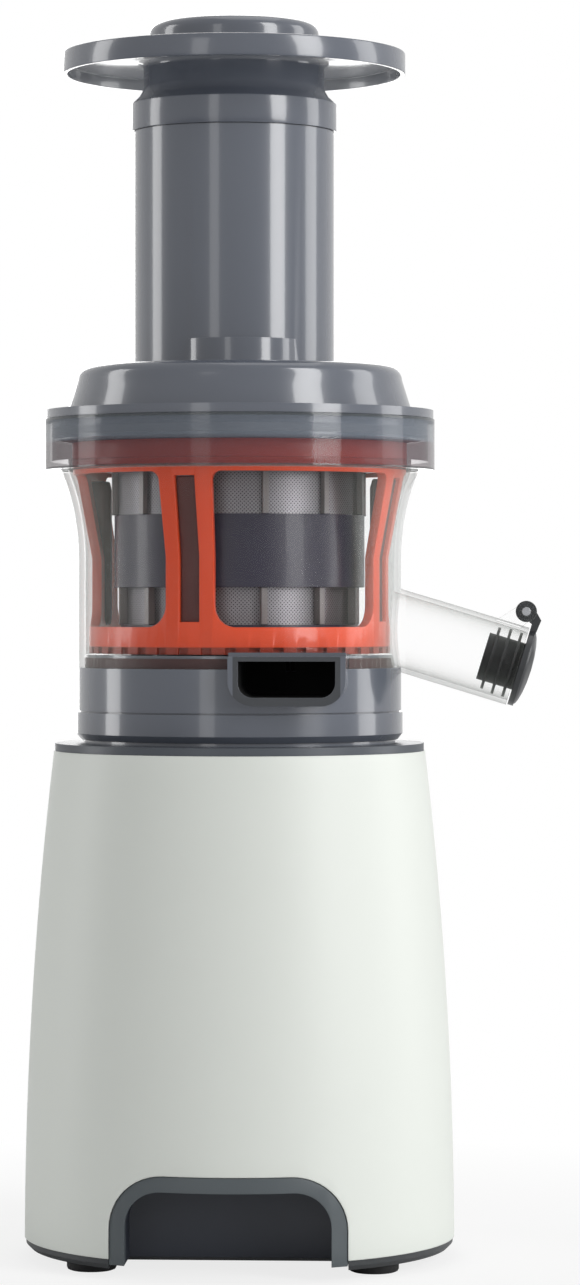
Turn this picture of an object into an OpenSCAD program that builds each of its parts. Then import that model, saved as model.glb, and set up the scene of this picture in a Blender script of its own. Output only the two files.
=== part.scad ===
// Cold press juicer with a round food tray, a clear bowl with a turning wiper cage and a tapered base.
// The main axis is Z, the floor is at 0 and the front is at -Y. All sizes are millimetres.

/* [Power base] */
// Radius of the white shell at floor level
base_foot_r = 75; // [72:0.5:78]
// Radius of the white shell at the deck
base_top_r = 64.7; // [63:0.1:66]
// Height of the white shell
shell_h = 169; // [160:1:180]
// Wall of the white shell
shell_wall = 2.5; // [1.8:0.1:3]
// Thickness of the dark deck on the shell
deck_t = 2.7; // [2:0.1:4]
// Thickness of the bottom plate
plate_t = 3.5; // [3:0.1:5]
// Height of the rubber feet
foot_h = 3.5; // [2.5:0.1:5]
// Radius of the rubber feet
foot_r = 8.5; // [6:0.1:10]
// Distance of the feet from the main axis
foot_ring_r = 62; // [54:0.5:62.5]
// Half width of the grip arch at the front
grip_half_w = 40.3; // [34:0.1:44]
// Height of the grip arch above the floor
grip_top = 36; // [30:0.5:42]
// Corner radius of the grip arch
grip_corner = 12.5; // [8:0.1:15]
// Width of the rim round the grip
grip_rim = 5.5; // [4:0.1:7]
// Distance of the grip's back wall from the main axis
grip_back = 44; // [42:0.5:50]

/* [Drive] */
// Radius of the gear motor's can
motor_r = 36; // [30:0.5:40]
// Height of the gear motor's can
motor_h = 72; // [60:1:80]
// Radius of the gearbox
gearbox_r = 46; // [42:0.5:52]
// Height of the gearbox
gearbox_h = 36; // [30:1:40]
// Radius of the drive shaft
shaft_r = 8; // [7:0.1:8.5]
// Width across flats of the hexagonal shaft end
hex_af = 12.6; // [11:0.1:13]
// Height of the hexagonal shaft end
hex_h = 13; // [10:0.5:15]

/* [Bowl] */
// Outer radius of the bowl
bowl_r = 56.4; // [55.6:0.1:57.5]
// Wall of the clear bowl
bowl_wall_t = 2.4; // [2:0.1:2.6]
// Height of the lock ring under the bowl
lock_h = 9.6; // [8:0.1:12]
// Height of the grey band of the bowl
band_h = 15.4; // [15:0.1:17]
// Rise of the bowl's floor over the grey band
floor_rise = 4.5; // [3.5:0.1:5]
// Thickness of the bowl's floor
floor_t = 3; // [2:0.1:3.5]
// Height of the straight part of the clear wall
wall_h = 38; // [36:0.5:40]
// Height of the flared part of the clear wall
flare_h = 30.6; // [29:0.1:32]
// Widening of the flared part
flare_out = 6.1; // [5:0.1:7]
// Outer radius of the collar that holds the lid
collar_r = 68; // [67:0.1:69]
// Height of that collar
collar_h = 17.6; // [16:0.1:19]
// Wall of that collar
collar_wall = 2.2; // [1.6:0.1:2.4]

/* [Spouts] */
// Outer radius of the juice spout
spout_r = 14; // [13:0.1:14.4]
// Wall of the juice spout
spout_wall = 1.6; // [1.2:0.1:2]
// Length of the juice spout from the bowl's wall
spout_len = 42.4; // [38:0.1:46]
// Downward tilt of the juice spout in degrees
spout_tilt = 17; // [12:0.5:18]
// Height of the spout's root over the lock ring
spout_rise = 37.8; // [37:0.1:39]
// Side offset of the pulp outlet
pulp_x = 19.5; // [18.5:0.1:20.5]
// Width of the pulp outlet's opening
pulp_w = 32.7; // [28:0.1:33.5]
// Height of the pulp outlet's opening
pulp_h = 12.2; // [10:0.1:13]
// Wall at the sides of the pulp outlet
pulp_side = 3.5; // [2.5:0.1:4]
// Distance of the pulp outlet's face from the main axis
pulp_face_y = 62; // [60:0.1:66]

/* [Gear train] */
// Height of the wiper gears
gear_h = 6.5; // [5:0.1:7]
// Backlash of each flank
backlash = 0.12; // [0.08:0.01:0.2]

/* [Strainer and wiper] */
// Wall of the wiper cage
wiper_wall = 3.3; // [3:0.1:3.6]
// Room between the strainer and the wiper cage for the blades
blade_room = 5.5; // [5:0.1:6]
// Height of the lower mesh
mesh_low_h = 12.8; // [10:0.1:14]
// Height of the middle band
mid_h = 25; // [20:0.1:28]
// Height of the upper mesh
mesh_up_h = 15.2; // [12:0.1:17]
// Height of the strainer's top ring
strainer_ring_h = 9.9; // [8:0.1:10]
// Thickness of the steel mesh
mesh_t = 0.6; // [0.4:0.1:0.8]
// Height of the wiper's toothed bottom ring
wiper_foot_h = 9; // [8.5:0.1:10]
// Height of the wiper's top ring
wiper_top_h = 8.4; // [7:0.1:9]
// Angle that each wiper post takes in degrees
post_angle = 19; // [15:0.5:24]
// Number of notches round the wiper's lower edge
notch_count = 40; // [30:1:48]

/* [Scroll] */
// Depth of the flights at the bottom
flight_depth = 8.9; // [7:0.1:11]
// Radius of the scroll's core at the top
core_top_r = 13; // [12:0.5:16]
// Thickness of a flight at its root
flight_root_t = 5; // [4:0.1:6]
// Thickness of a flight at its edge
flight_edge_t = 2.6; // [2:0.1:3]
// Radius of the scroll's top pin
pin_r = 5; // [4:0.1:6]
// Height of the scroll's top pin
pin_h = 12; // [10:0.5:13]

/* [Lid] */
// Height of the lid's dome over the flange
dome_h = 15.1; // [14:0.1:18]
// Thickness of the lid's flange
flange_t = 3.2; // [2.5:0.1:4]
// Wall of the lid
lid_wall = 3; // [2.4:0.1:3.4]
// Radius of the hub boss on the lid
hub_r = 21; // [19:0.1:22]
// Height of the hub boss over the dome
hub_h = 9.5; // [8:0.1:12]
// Sideways offset of the feed tube
tube_x = -3.2; // [-5:0.1:0]
// Backward offset of the feed tube
tube_y = 20; // [18:0.1:20.5]
// Outer radius of the feed tube
tube_r = 35.3; // [34.8:0.1:35.6]
// Wall of the feed tube
tube_wall = 3.3; // [2.5:0.1:3.6]
// Height of the feed tube over the dome
tube_h = 92.5; // [85:0.5:100]
// Height of the narrow end of the feed tube
spigot_h = 8.6; // [7:0.1:10]

/* [Food tray and pusher] */
// Radius of the food tray
tray_r = 60.5; // [56:0.1:64]
// Height of the tray's rim skirt
tray_rim_h = 7.5; // [6.5:0.1:10]
// Depth of the tray inside its rim
tray_depth = 1.7; // [1.2:0.1:3]
// Thickness of the tray's plate
tray_plate_t = 1.8; // [1.4:0.1:2.4]
// Outer radius of the tray's neck
neck_r = 31.9; // [31.2:0.1:33]
// Wall of the tray's neck
neck_wall = 3.3; // [2.6:0.1:3.5]
// Height of the tray's neck over the collar
neck_h = 14.6; // [12:0.1:18]
// Length of the pusher below the tray
pusher_len = 84; // [60:0.5:90]
// Wall of the pusher
pusher_wall = 2.4; // [1.8:0.1:3]
// Radius of the pusher's cap
cap_r = 30; // [29.5:0.1:33]
// Height of the pusher's cap
cap_h = 13; // [10:0.1:16]

/* [Clearances] */
// Gap between pieces that turn or slide on each other
run_gap = 0.4; // [0.3:0.05:0.5]
// Gap between pieces that only seat in each other
fit_gap = 0.15; // [0.1:0.01:0.25]

/* [Hidden] */
$fn = 128;
far = 200;      // longer than any cut needs
eps = 0.01;     // overlap of pieces that are joined, and overshoot of cuts

// heights of the power base
plate_z = foot_h;
shell_z = plate_z + plate_t;
deck_z = shell_z + shell_h;
deck_top = deck_z + deck_t;

// side of the base: an arc that stands upright at the floor
base_arc_r = ((base_foot_r - base_top_r) ^ 2 + deck_z ^ 2) / (2 * (base_foot_r - base_top_r));
base_arc_x = base_foot_r - base_arc_r;
function base_r(z) = base_arc_x + sqrt(base_arc_r ^ 2 - z ^ 2);

// heights of the drive, hung under the deck
carrier_t = 5;
carrier_drop = 26;
carrier_z = deck_z - carrier_drop - carrier_t;
gearbox_z = carrier_z - gearbox_h;
motor_z = gearbox_z - motor_h;
motor_cap_h = 9;
bearing_h = 9;
bearing_wall = 6;
shaft_dip = 22;
deck_skirt_h = 8;
deck_hub_r = 15;
deck_hub_top = deck_top + 4.3;
seal_h = 3;

// heights of the bowl
seat_lip = 1.3;
lock_z = deck_top + seat_lip;
groove_h = 0.5;
band_z = lock_z + lock_h;
wall_z = band_z + band_h;
floor_top = wall_z + floor_rise;
flare_z = wall_z + wall_h;
ledge_z = flare_z + flare_h;
ledge_t = 3;
collar_top = ledge_z + collar_h;
bowl_in_r = bowl_r - bowl_wall_t;
floor_r = bowl_in_r - 0.4;
flare_arc_r = (flare_out ^ 2 + flare_h ^ 2) / (2 * flare_out);
flare_arc_x = bowl_r + flare_arc_r;
ledge_in_r = flare_arc_x - sqrt((flare_arc_r + bowl_wall_t) ^ 2 - flare_h ^ 2);
function wall_in_r(z) = z < flare_z ? bowl_in_r
    : flare_arc_x - sqrt((flare_arc_r + bowl_wall_t) ^ 2 - (z - flare_z) ^ 2);

// centre tube of the bowl round the drive shaft
tube_in_r = shaft_r + 1;
bowl_tube_r = tube_in_r + 3;
bowl_tube_z = deck_hub_top + run_gap;

// wiper cage and strainer, from the bowl's wall inwards
wiper_foot_r = bowl_in_r - 1.6;
wiper_bore_r = wiper_foot_r - wiper_wall;
strainer_r = wiper_bore_r - blade_room;

// gear train of the wiper: sun on the scroll, two idlers, ring gear that fills the wiper's foot
sun_teeth = 16;
idler_teeth = 12;
ring_teeth = sun_teeth + 2 * idler_teeth;
pressure_angle = 25;
addendum = 0.95;
dedendum = 1.17;
ring_root_r = wiper_bore_r - 0.4;
gear_m = ring_root_r / (ring_teeth / 2 + dedendum);
idler_dist = gear_m * (sun_teeth + idler_teeth) / 2;
idler_angle = 45;
gear_z = floor_top + 1;
gear_top = gear_z + gear_h;
ring_tip_r = gear_m * (ring_teeth / 2 - 0.87);
sun_tip_r = gear_m * (sun_teeth / 2 + addendum);
idler_pin_r = 3;

// strainer
strainer_z = gear_top + 0.8;
strainer_plate_t = 2.2;
mesh_low_z = strainer_z + strainer_plate_t;
mid_z = mesh_low_z + mesh_low_h;
mesh_up_z = mid_z + mid_h;
ring_z = mesh_up_z + mesh_up_h;
strainer_top = ring_z + strainer_ring_h;
strainer_wall = 2.1;
strainer_in_r = strainer_r - strainer_wall;
mesh_low_r = strainer_in_r - 2;
mesh_up_r = strainer_r - 0.8;
strainer_ring_r = strainer_r + 3.4;
seat_r = [ring_tip_r - 8, ring_tip_r - 2.2];

// wiper cage
wiper_z = floor_top + run_gap;
wiper_foot_top = wiper_z + wiper_foot_h;
wiper_top = strainer_top;
wiper_ring_z = wiper_top - wiper_top_h;
wiper_ring_r = min(wall_in_r(wiper_ring_z), ledge_in_r) - 1.6;
post_turn = -105.5;
post_count = 4;
blade_w = 3.4;

// scroll
scroll_z = gear_top;
scroll_top = strainer_top + 13;
shoulder_h = 4;
scroll_low_r = mesh_low_r - 1.6;
scroll_up_r = strainer_in_r - 0.9;
core_low_r = scroll_low_r - flight_depth;
socket_af = hex_af + 2 * fit_gap;
socket_r = 11;
shaft_top = deck_top + 57;
skirt_top = scroll_z + 5.6;

// lid
flange_z = collar_top;
flange_top = flange_z + flange_t;
lid_top = flange_top + dome_h;
tube_top = lid_top + tube_h;
tube_in = tube_r - tube_wall;
spigot_r = tube_r - 1.5;
shoulder_z = tube_top - spigot_h;
bush_top = lid_top + hub_h - lid_wall;
bush_r = pin_r + 4;

// food tray and pusher
tray_collar_z = shoulder_z + fit_gap;
tray_collar_wall = 2.1;
tray_collar_in = spigot_r + 2 * fit_gap;
tray_collar_r = tray_collar_in + tray_collar_wall;
tray_collar_top = tube_top + 1.2;
tray_plate_z = tray_collar_top + neck_h;
tray_plate_top = tray_plate_z + tray_plate_t;
tray_top = tray_plate_top + tray_depth;
neck_in = neck_r - neck_wall;
pusher_r = neck_in - 1.5 * run_gap;
cap_z = tray_plate_top + fit_gap;
cap_top = cap_z + cap_h;

// spout, along its own axis from the bowl's wall outwards
spout_z = lock_z + spout_rise;
spout_in = spout_r - spout_wall;
stopper_core_r = 8.4;
stopper_len = 12.6;
hinge_back = 2.7;
hinge_rise = spout_r + 5.1;
hinge_r = 3.7;
hinge_pin_r = 1.5;
ear_gap = 3.9;
ear_t = 2.4;

// rear switch and gland
switch_z = 45;
switch_w = 13;
switch_tall = 27;
switch_rim = 2;
rocker_pivot_y = base_r(switch_z) - 4;
gland_z = 16;
gland_bore_r = 3.5;
gland_r = 6.5;

// pulp outlet
pulp_z = wall_z - 9.4;
pulp_top = pulp_z + pulp_h;
pulp_wall = 2.9;

// ---------- shared shapes ----------

module ring(r_out, r_in, z0, z1) {
    rotate_extrude() translate([r_in, z0]) square([r_out - r_in, z1 - z0]);
}

side_steps = 14;

// a profile for one side of the base between two heights, moved inwards by inset
module base_side(z0, z1, inset) {
    polygon(concat([[0, z0]], [for (i = [0:side_steps])
        let (z = z0 + (z1 - z0) * i / side_steps) [base_r(z) - inset, z]], [[0, z1]]));
}

// a block with an arched outline, drawn from the front, between two distances along -Y
module arch_block(half_w, top, corner, y_front, y_back) {
    translate([0, -y_back, 0]) rotate([90, 0, 0]) linear_extrude(y_front - y_back) {
        translate([-half_w, -1]) square([2 * half_w, top - corner + 1]);
        translate([-(half_w - corner), 0]) square([2 * (half_w - corner), top]);
        for (side = [-1, 1]) translate([side * (half_w - corner), top - corner]) circle(r = corner);
    }
}

// involute gear outline
function involute(a) = tan(a) * 180 / PI - a;
function roll(r, base) = r > base ? acos(base / r) : 0;
function flank_half(r, pitch, teeth, slack) =
    90 / teeth - slack / pitch * 180 / PI
    + involute(pressure_angle) - involute(roll(r, pitch * cos(pressure_angle)));
function polar(r, a) = [r * cos(a), r * sin(a)];

module gear_2d(teeth, root, tip, slack) {
    pitch = gear_m * teeth / 2;
    start = max(root, pitch * cos(pressure_angle));
    radii = concat(root < start ? [root] : [], [for (i = [0:4]) start + (tip - start) * i / 4]);
    polygon([for (t = [0:teeth - 1]) for (side = [-1, 1])
        for (i = [0:len(radii) - 1])
            let (r = side < 0 ? radii[i] : radii[len(radii) - 1 - i])
            polar(r, t * 360 / teeth + side * flank_half(max(r, start), pitch, teeth, slack))]);
}

module outer_gear_2d(teeth) {
    gear_2d(teeth, gear_m * (teeth / 2 - dedendum), gear_m * (teeth / 2 + addendum), backlash);
}

// moves the children to the spout's frame: X outwards along the spout, Z across it, end face at 0
module at_spout() {
    translate([bowl_r, 0, spout_z]) rotate([0, spout_tilt, 0]) translate([spout_len, 0, 0]) children();
}

module spout_rod(r, from, to) {
    at_spout() translate([from, 0, 0]) rotate([0, 90, 0]) cylinder(r = r, h = to - from);
}

module at_tube() {
    translate([tube_x, tube_y, 0]) children();
}

module at_idlers() {
    for (turn = [0, 180]) rotate(turn + idler_angle) translate([idler_dist, 0, 0]) children();
}

module at_posts() {
    for (i = [0:post_count - 1]) rotate(post_turn + i * 360 / post_count) children();
}

// a sector of a disc, as an outline
module sector_2d(r, angle) {
    polygon(concat([[0, 0]], [for (i = [-4:4]) polar(r / cos(angle / 16), i * angle / 8)]));
}

// ---------- power base ----------

screw_angles = [15, 165, 195, 345];
boss_r = 5;
screw_ring_r = base_foot_r - shell_wall - boss_r + 0.8;
boss_top = shell_z + 24;
screw_len = 14;

module at_screws() {
    for (a = screw_angles) rotate(a) translate([screw_ring_r, 0, 0]) children();
}

module base_shell() {
    color([0.93, 0.94, 0.92]) difference() {
        union() {
            rotate_extrude() difference() {
                base_side(shell_z, deck_z, 0);
                base_side(shell_z - 1, deck_z + 1, shell_wall);
            }
            at_screws() translate([0, 0, shell_z]) cylinder(r = boss_r, h = boss_top - shell_z);
        }
        arch_block(grip_half_w, grip_top, grip_corner, far / 2, grip_back - 4);
        at_screws() translate([0, 0, shell_z - 1]) cylinder(r = 1.6, h = screw_len + 5);
        translate([-switch_w / 2 - switch_rim / 2, 0, switch_z - switch_tall / 2 - switch_rim / 2])
            cube([switch_w + switch_rim, far / 2, switch_tall + switch_rim]);
        translate([0, 0, gland_z]) rotate([-90, 0, 0]) cylinder(r = gland_r, h = far / 2);
    }
}

module top_deck() {
    color([0.30, 0.31, 0.33]) union() {
        difference() {
            union() {
                translate([0, 0, deck_z]) cylinder(r = base_top_r - 0.4, h = deck_t);
                translate([0, 0, deck_z]) cylinder(r = deck_hub_r, h = deck_hub_top - deck_z);
            }
            translate([0, 0, deck_z - 1]) cylinder(r = shaft_r + 0.6, h = 20);
            translate([0, 0, deck_hub_top - seal_h]) cylinder(r = shaft_r + 4, h = 20);
        }
        ring(base_r(deck_z - deck_skirt_h) - shell_wall - 1.4, base_top_r - shell_wall - 3.4,
            deck_z - deck_skirt_h, deck_z);
        for (turn = [0:90:270]) rotate(turn + 45)
            intersection() {
                ring(bowl_in_r - 4.6, bowl_in_r - 8.4, deck_top - eps, deck_top + 5);
                translate([0, 0, deck_top - 1]) linear_extrude(10) sector_2d(bowl_r, 20);
            }
    }
}

vent_count = 9;
vent_pitch = 7;
vent_w = 3;
vent_len = 58;
vent_front = 25;

module base_plate() {
    color([0.16, 0.17, 0.18]) difference() {
        rotate_extrude() polygon([
            [0, plate_z], [base_foot_r - 2.2, plate_z], [base_foot_r - 0.6, plate_z + 1.6],
            [base_foot_r - 0.6, shell_z], [0, shell_z]]);
        arch_block(grip_half_w, grip_top, grip_corner, far / 2, grip_back - 4);
        at_screws() translate([0, 0, -1]) cylinder(r = 1.8, h = far / 2);
        at_screws() translate([0, 0, plate_z - 1]) cylinder(r = 3.4, h = 2.6);
        for (i = [-(vent_count - 1) / 2:(vent_count - 1) / 2])
            translate([i * vent_pitch - vent_w / 2, -vent_front, 0]) cube([vent_w, vent_len, far / 2]);
    }
}

module rubber_feet() {
    color([0.10, 0.10, 0.11]) for (a = [39, 141, 219, 321]) rotate(a) translate([foot_ring_r, 0, 0])
        rotate_extrude() polygon([
            [0, 0], [foot_r - 0.8, 0], [foot_r, 0.8], [foot_r, plate_z], [0, plate_z]]);
}

module grip_recess() {
    inner_w = grip_half_w - grip_rim;
    inner_top = grip_top - grip_rim;
    inner_corner = grip_corner - grip_rim + 1;
    wall = 2.2;
    color([0.33, 0.36, 0.38]) difference() {
        intersection() {
            union() {
                intersection() {
                    arch_block(grip_half_w - fit_gap, grip_top - fit_gap, grip_corner, far / 2,
                        grip_back);
                    rotate_extrude() difference() {
                        square([base_foot_r + 10, grip_top + 10]);
                        base_side(-1, grip_top + 11, shell_wall + 1.5);
                    }
                }
                arch_block(inner_w + wall, inner_top + wall, inner_corner + wall, base_foot_r,
                    grip_back - wall);
            }
            rotate_extrude() base_side(plate_z + 1.6, deck_z, 0);
        }
        arch_block(inner_w, inner_top, inner_corner, far / 2, grip_back);
    }
}

module base_screws() {
    color([0.72, 0.73, 0.75]) at_screws() {
        translate([0, 0, plate_z + 1.6 - 1.4]) cylinder(r = 3.1, h = 1.4);
        translate([0, 0, plate_z + 1.6 - eps]) cylinder(r = 1.5, h = screw_len);
    }
}

// ---------- gear motor, switch and gland ----------

module motor_can() {
    color([0.55, 0.56, 0.58]) union() {
        translate([0, 0, motor_z]) cylinder(r = motor_r, h = motor_h);
        for (a = [0:30:330]) rotate(a) translate([motor_r - 0.5, -1, motor_z + 8])
            cube([2.5, 2, motor_h - 16]);
    }
}

module motor_cap() {
    color([0.20, 0.21, 0.22]) union() {
        translate([0, 0, motor_z - motor_cap_h]) cylinder(r = motor_r - 3, h = motor_cap_h);
        translate([0, 0, motor_z - motor_cap_h - 5]) cylinder(r = 9, h = 5 + eps);
    }
}

module gearbox_housing() {
    color([0.26, 0.27, 0.29]) difference() {
        union() {
            translate([0, 0, gearbox_z]) cylinder(r = gearbox_r, h = gearbox_h);
            for (a = [45:90:315]) rotate(a) translate([gearbox_r + 1, 0, gearbox_z])
                cylinder(r = 5, h = gearbox_h);
        }
        translate([0, 0, carrier_z - shaft_dip - 2])
            cylinder(r = shaft_r + 0.5, h = shaft_dip + carrier_t + 3);
    }
}

module motor_carrier() {
    color([0.60, 0.61, 0.62]) union() {
        difference() {
            translate([0, 0, carrier_z]) cylinder(r = gearbox_r + 8, h = carrier_t);
            translate([0, 0, carrier_z - 1]) cylinder(r = shaft_r + bearing_wall, h = 20);
        }
        for (a = [0:90:270]) rotate(a) translate([gearbox_r + 2, 0, carrier_z + carrier_t - eps])
            cylinder(r = 4, h = deck_z - carrier_z - carrier_t + eps);
    }
}

module output_bearing() {
    color([0.80, 0.81, 0.83]) ring(shaft_r + bearing_wall, shaft_r + 0.2, carrier_z,
        carrier_z + bearing_h);
}

module shaft_seal() {
    color([0.08, 0.08, 0.09]) ring(shaft_r + 4, shaft_r + 0.2, deck_hub_top - seal_h, deck_hub_top);
}

board_gap = 7;
board_w = 44;
board_h = 86;
board_t = 1.6;
block_w = 28;
block_t = 9;
block_h = 18;
block_rise = 58;
can_x = 10;
can_h = 9;
can_rise = 74;

module control_board() {
    board_y = motor_r + board_gap;
    color([0.10, 0.35, 0.20]) union() {
        translate([-board_w / 2, board_y, shell_z]) cube([board_w, board_t, board_h]);
        translate([-block_w / 2, board_y + board_t - 0.1, shell_z + block_rise])
            cube([block_w, block_t, block_h]);
        for (side = [-1, 1]) translate([side * can_x, board_y - 2.5, shell_z + can_rise])
            cylinder(r = 2.6, h = can_h);
    }
}

module switch_bezel() {
    depth = 13;
    flange = 1.8;
    front = base_r(switch_z - switch_tall / 2 - 1.75 * switch_rim) + flange + eps;
    color([0.15, 0.16, 0.17]) translate([0, front, switch_z]) rotate([90, 0, 0]) difference() {
        union() {
            linear_extrude(flange)
                square([switch_w + 3.5 * switch_rim, switch_tall + 3.5 * switch_rim], center = true);
            translate([0, 0, depth / 2]) linear_extrude(depth, center = true)
                square([switch_w + switch_rim - 0.3, switch_tall + switch_rim - 0.3], center = true);
        }
        translate([0, 0, -2]) linear_extrude(depth + 0.6) square([switch_w - 1, switch_tall], center = true);
    }
}

module switch_rocker() {
    half = switch_tall / 2 - 0.5;
    rise = base_r(switch_z) + 3 - rocker_pivot_y;
    color([0.12, 0.12, 0.13]) translate([0, rocker_pivot_y, switch_z]) rotate([90, 0, 90])
        linear_extrude(switch_w - 1 - 2 * run_gap, center = true) intersection() {
            circle(r = half);
            polygon([[-3, -far], [-3, far], [rise, far], [rise, 6], [rise - 2.2, 0], [rise, -6],
                [rise, -far]]);
        }
}

module cord_gland() {
    face_y = base_r(gland_z);
    color([0.14, 0.15, 0.16]) translate([0, 0, gland_z]) rotate([-90, 0, 0]) difference() {
        union() {
            translate([0, 0, face_y - 8]) cylinder(r = gland_r - 0.2, h = 14);
            translate([0, 0, face_y + 0.6]) cylinder(r = gland_r + 2, h = 2.4);
            translate([0, 0, face_y - 7]) cylinder(r = gland_r + 1.5, h = 3);
        }
        cylinder(r = gland_bore_r, h = far);
    }
}

module drive_shaft() {
    shaft_low = carrier_z - shaft_dip;
    color([0.78, 0.79, 0.81]) union() {
        translate([0, 0, shaft_low]) cylinder(r = shaft_r, h = shaft_top - hex_h - shaft_low);
        translate([0, 0, shaft_top - hex_h - eps]) rotate(30)
            cylinder(r = hex_af / 2 / cos(30), h = hex_h + eps, $fn = 6);
    }
}

// ---------- bowl ----------

chute_r = [sun_tip_r + 2.6, ring_tip_r - 1.6];
chute_turn = -55;
chute_angle = 34;

module pulp_chute(inset, z0, z1) {
    intersection() {
        ring(chute_r[1] - inset, chute_r[0] + inset, z0, z1);
        translate([0, 0, z0]) linear_extrude(z1 - z0) rotate(chute_turn)
            offset_sector_2d(chute_angle, inset);
    }
}

// a sector whose two straight sides lie inwards by inset
module offset_sector_2d(angle, inset) {
    intersection() {
        rotate(angle / 2) translate([0, -far]) square([far, far - inset]);
        rotate(-angle / 2) translate([0, inset]) square([far, far]);
    }
}

// outline of the pulp channel seen from the front, grown by wall
module pulp_2d(side, wall) {
    w = pulp_w + 2 * side;
    h = pulp_h + 2 * wall;
    corner = min(pulp_corner + side, h - 1);
    translate([pulp_x, pulp_z - wall]) intersection() {
        translate([-w / 2, 0]) square([w, h]);
        union() {
            translate([-w / 2, corner]) square([w, h]);
            translate([corner - w / 2, 0]) square([w - 2 * corner, h]);
            for (s = [-1, 1]) translate([s * (w / 2 - corner), corner]) circle(r = corner);
        }
    }
}

module pulp_block(side, wall, y_front, y_back) {
    translate([0, -y_back, 0]) rotate([90, 0, 0]) linear_extrude(y_front - y_back) pulp_2d(side, wall);
}

pulp_back = 15;
pulp_corner = 5;

module bowl_base() {
    under_r = floor_r - 1.5;
    floor_low = floor_top - floor_t;
    color([0.40, 0.42, 0.46]) difference() {
        union() {
            rotate_extrude() polygon([
                [bowl_tube_r - 1, floor_low], [under_r, floor_low], [under_r, deck_top],
                [bowl_r - 2, deck_top], [bowl_r - 2, lock_z],
                [bowl_r - 1.2, lock_z], [bowl_r + 0.5, lock_z + 2.2],
                [bowl_r + 0.5, band_z], [bowl_r - 0.6, band_z], [bowl_r - 0.6, band_z + groove_h],
                [bowl_r, band_z + groove_h], [bowl_r, wall_z], [floor_r, wall_z],
                [floor_r, floor_top], [bowl_tube_r - 1, floor_top]]);
            ring(bowl_tube_r, tube_in_r, bowl_tube_z, scroll_z + 4);
            ring(bowl_tube_r + 2, bowl_tube_r - eps, floor_low - 5, gear_z - run_gap);
            difference() {
                pulp_block(pulp_side, pulp_wall, pulp_face_y, pulp_back);
                translate([0, 0, band_z - 10]) cylinder(r = bowl_tube_r, h = far);
                translate([0, 0, floor_top - 0.5]) cylinder(r = floor_r - 0.5, h = far);
            }
            pulp_chute(0, pulp_top - eps, strainer_z - run_gap);
            for (turn = [100, 280]) rotate(turn + 35) intersection() {
                ring(seat_r[1], seat_r[0], floor_top - eps, strainer_z);
                linear_extrude(far * 2) sector_2d(bowl_r, 50);
            }
            at_idlers() translate([0, 0, floor_top - eps]) cylinder(r = 6, h = gear_z - run_gap - floor_top);
        }
        // room over the floor for the wiper, and the way through for the pulp
        ring(floor_r + 0.02, floor_r - 2, floor_top, pulp_top + 20);
        pulp_block(0, 0, far / 2, pulp_back + 3);
        pulp_chute(1.6, pulp_top - 4, strainer_z + 1);
        at_idlers() translate([0, 0, floor_low + 0.8]) cylinder(r = idler_pin_r, h = 20);
        difference() {
            spout_rod(spout_r + fit_gap, -far / 4, 4);
            translate([0, 0, lock_z - 1]) cylinder(r = floor_r, h = far);
        }
    }
}

module bowl_wall() {
    ear_reach = hinge_rise;
    color([0.86, 0.90, 0.90, 0.35]) difference() {
        union() {
            rotate_extrude() {
                difference() {
                    translate([0, wall_z]) square([flare_arc_x - 1, flare_z + flare_h - wall_z]);
                    translate([0, wall_z - 1]) square([bowl_in_r, wall_h + 1]);
                    translate([bowl_r, wall_z - 1]) square([far, wall_h + 1]);
                    translate([flare_arc_x, flare_z]) circle(r = flare_arc_r, $fn = 512);
                    difference() {
                        translate([0, flare_z - eps]) square([flare_arc_x, flare_h + 1]);
                        translate([flare_arc_x, flare_z]) circle(r = flare_arc_r + bowl_wall_t, $fn = 512);
                    }
                }
                translate([ledge_in_r, ledge_z]) square([collar_r - ledge_in_r, ledge_t]);
                translate([collar_r - collar_wall, ledge_z]) square([collar_wall, collar_h]);
            }
            spout_rod(spout_r, -spout_len - 8, 0);
            at_spout() for (side = [-1, 1])
                translate([0, side * (ear_gap + ear_t / 2), 0]) rotate([90, 0, 0])
                    linear_extrude(ear_t, center = true) {
                        polygon([[-12, spout_in + 0.6], [-3, spout_in + 0.6],
                            [-hinge_back + hinge_r, ear_reach - 0.5], [-hinge_back, ear_reach + hinge_r],
                            [-hinge_back - hinge_r, ear_reach + 0.5]]);
                        translate([-hinge_back, ear_reach]) circle(r = hinge_r);
                    }
        }
        spout_rod(spout_in, -spout_len - 12, 1);
        translate([0, 0, wall_z - 30]) cylinder(r = bowl_in_r, h = wall_h + 30);
        at_spout() translate([-hinge_back, 0, ear_reach]) rotate([90, 0, 0])
            cylinder(r = hinge_pin_r + 0.1, h = 40, center = true);
        pulp_block(pulp_side + fit_gap, pulp_wall + fit_gap, far / 2, 0);
    }
}

module bowl_gasket() {
    color([0.10, 0.10, 0.11]) difference() {
        ring(bowl_in_r, floor_r, wall_z, floor_top - 1);
        pulp_block(pulp_side + fit_gap, pulp_wall + fit_gap, far / 2, 0);
        spout_rod(spout_r + fit_gap, -far / 4, 4);
    }
}

module idler_pins() {
    color([0.78, 0.79, 0.81]) at_idlers() translate([0, 0, floor_top - floor_t + 0.8]) {
        cylinder(r = idler_pin_r, h = gear_top - floor_top + floor_t - 0.8);
        translate([0, 0, gear_top - floor_top + floor_t - 0.8 - eps]) cylinder(r = 4.2, h = 0.5);
    }
}

// ---------- gears ----------

// turn that puts a driven outside gear in mesh with the sun, seen along the idler's direction
function mesh_turn(theta) = theta + 180 + 180 / idler_teeth + theta * sun_teeth / idler_teeth;

module idler_gear(theta) {
    rotate(theta) translate([idler_dist, 0, gear_z]) rotate(mesh_turn(theta) - theta)
        linear_extrude(gear_h - 0.2) difference() {
            outer_gear_2d(idler_teeth);
            circle(r = idler_pin_r + 0.15);
        }
}

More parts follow.
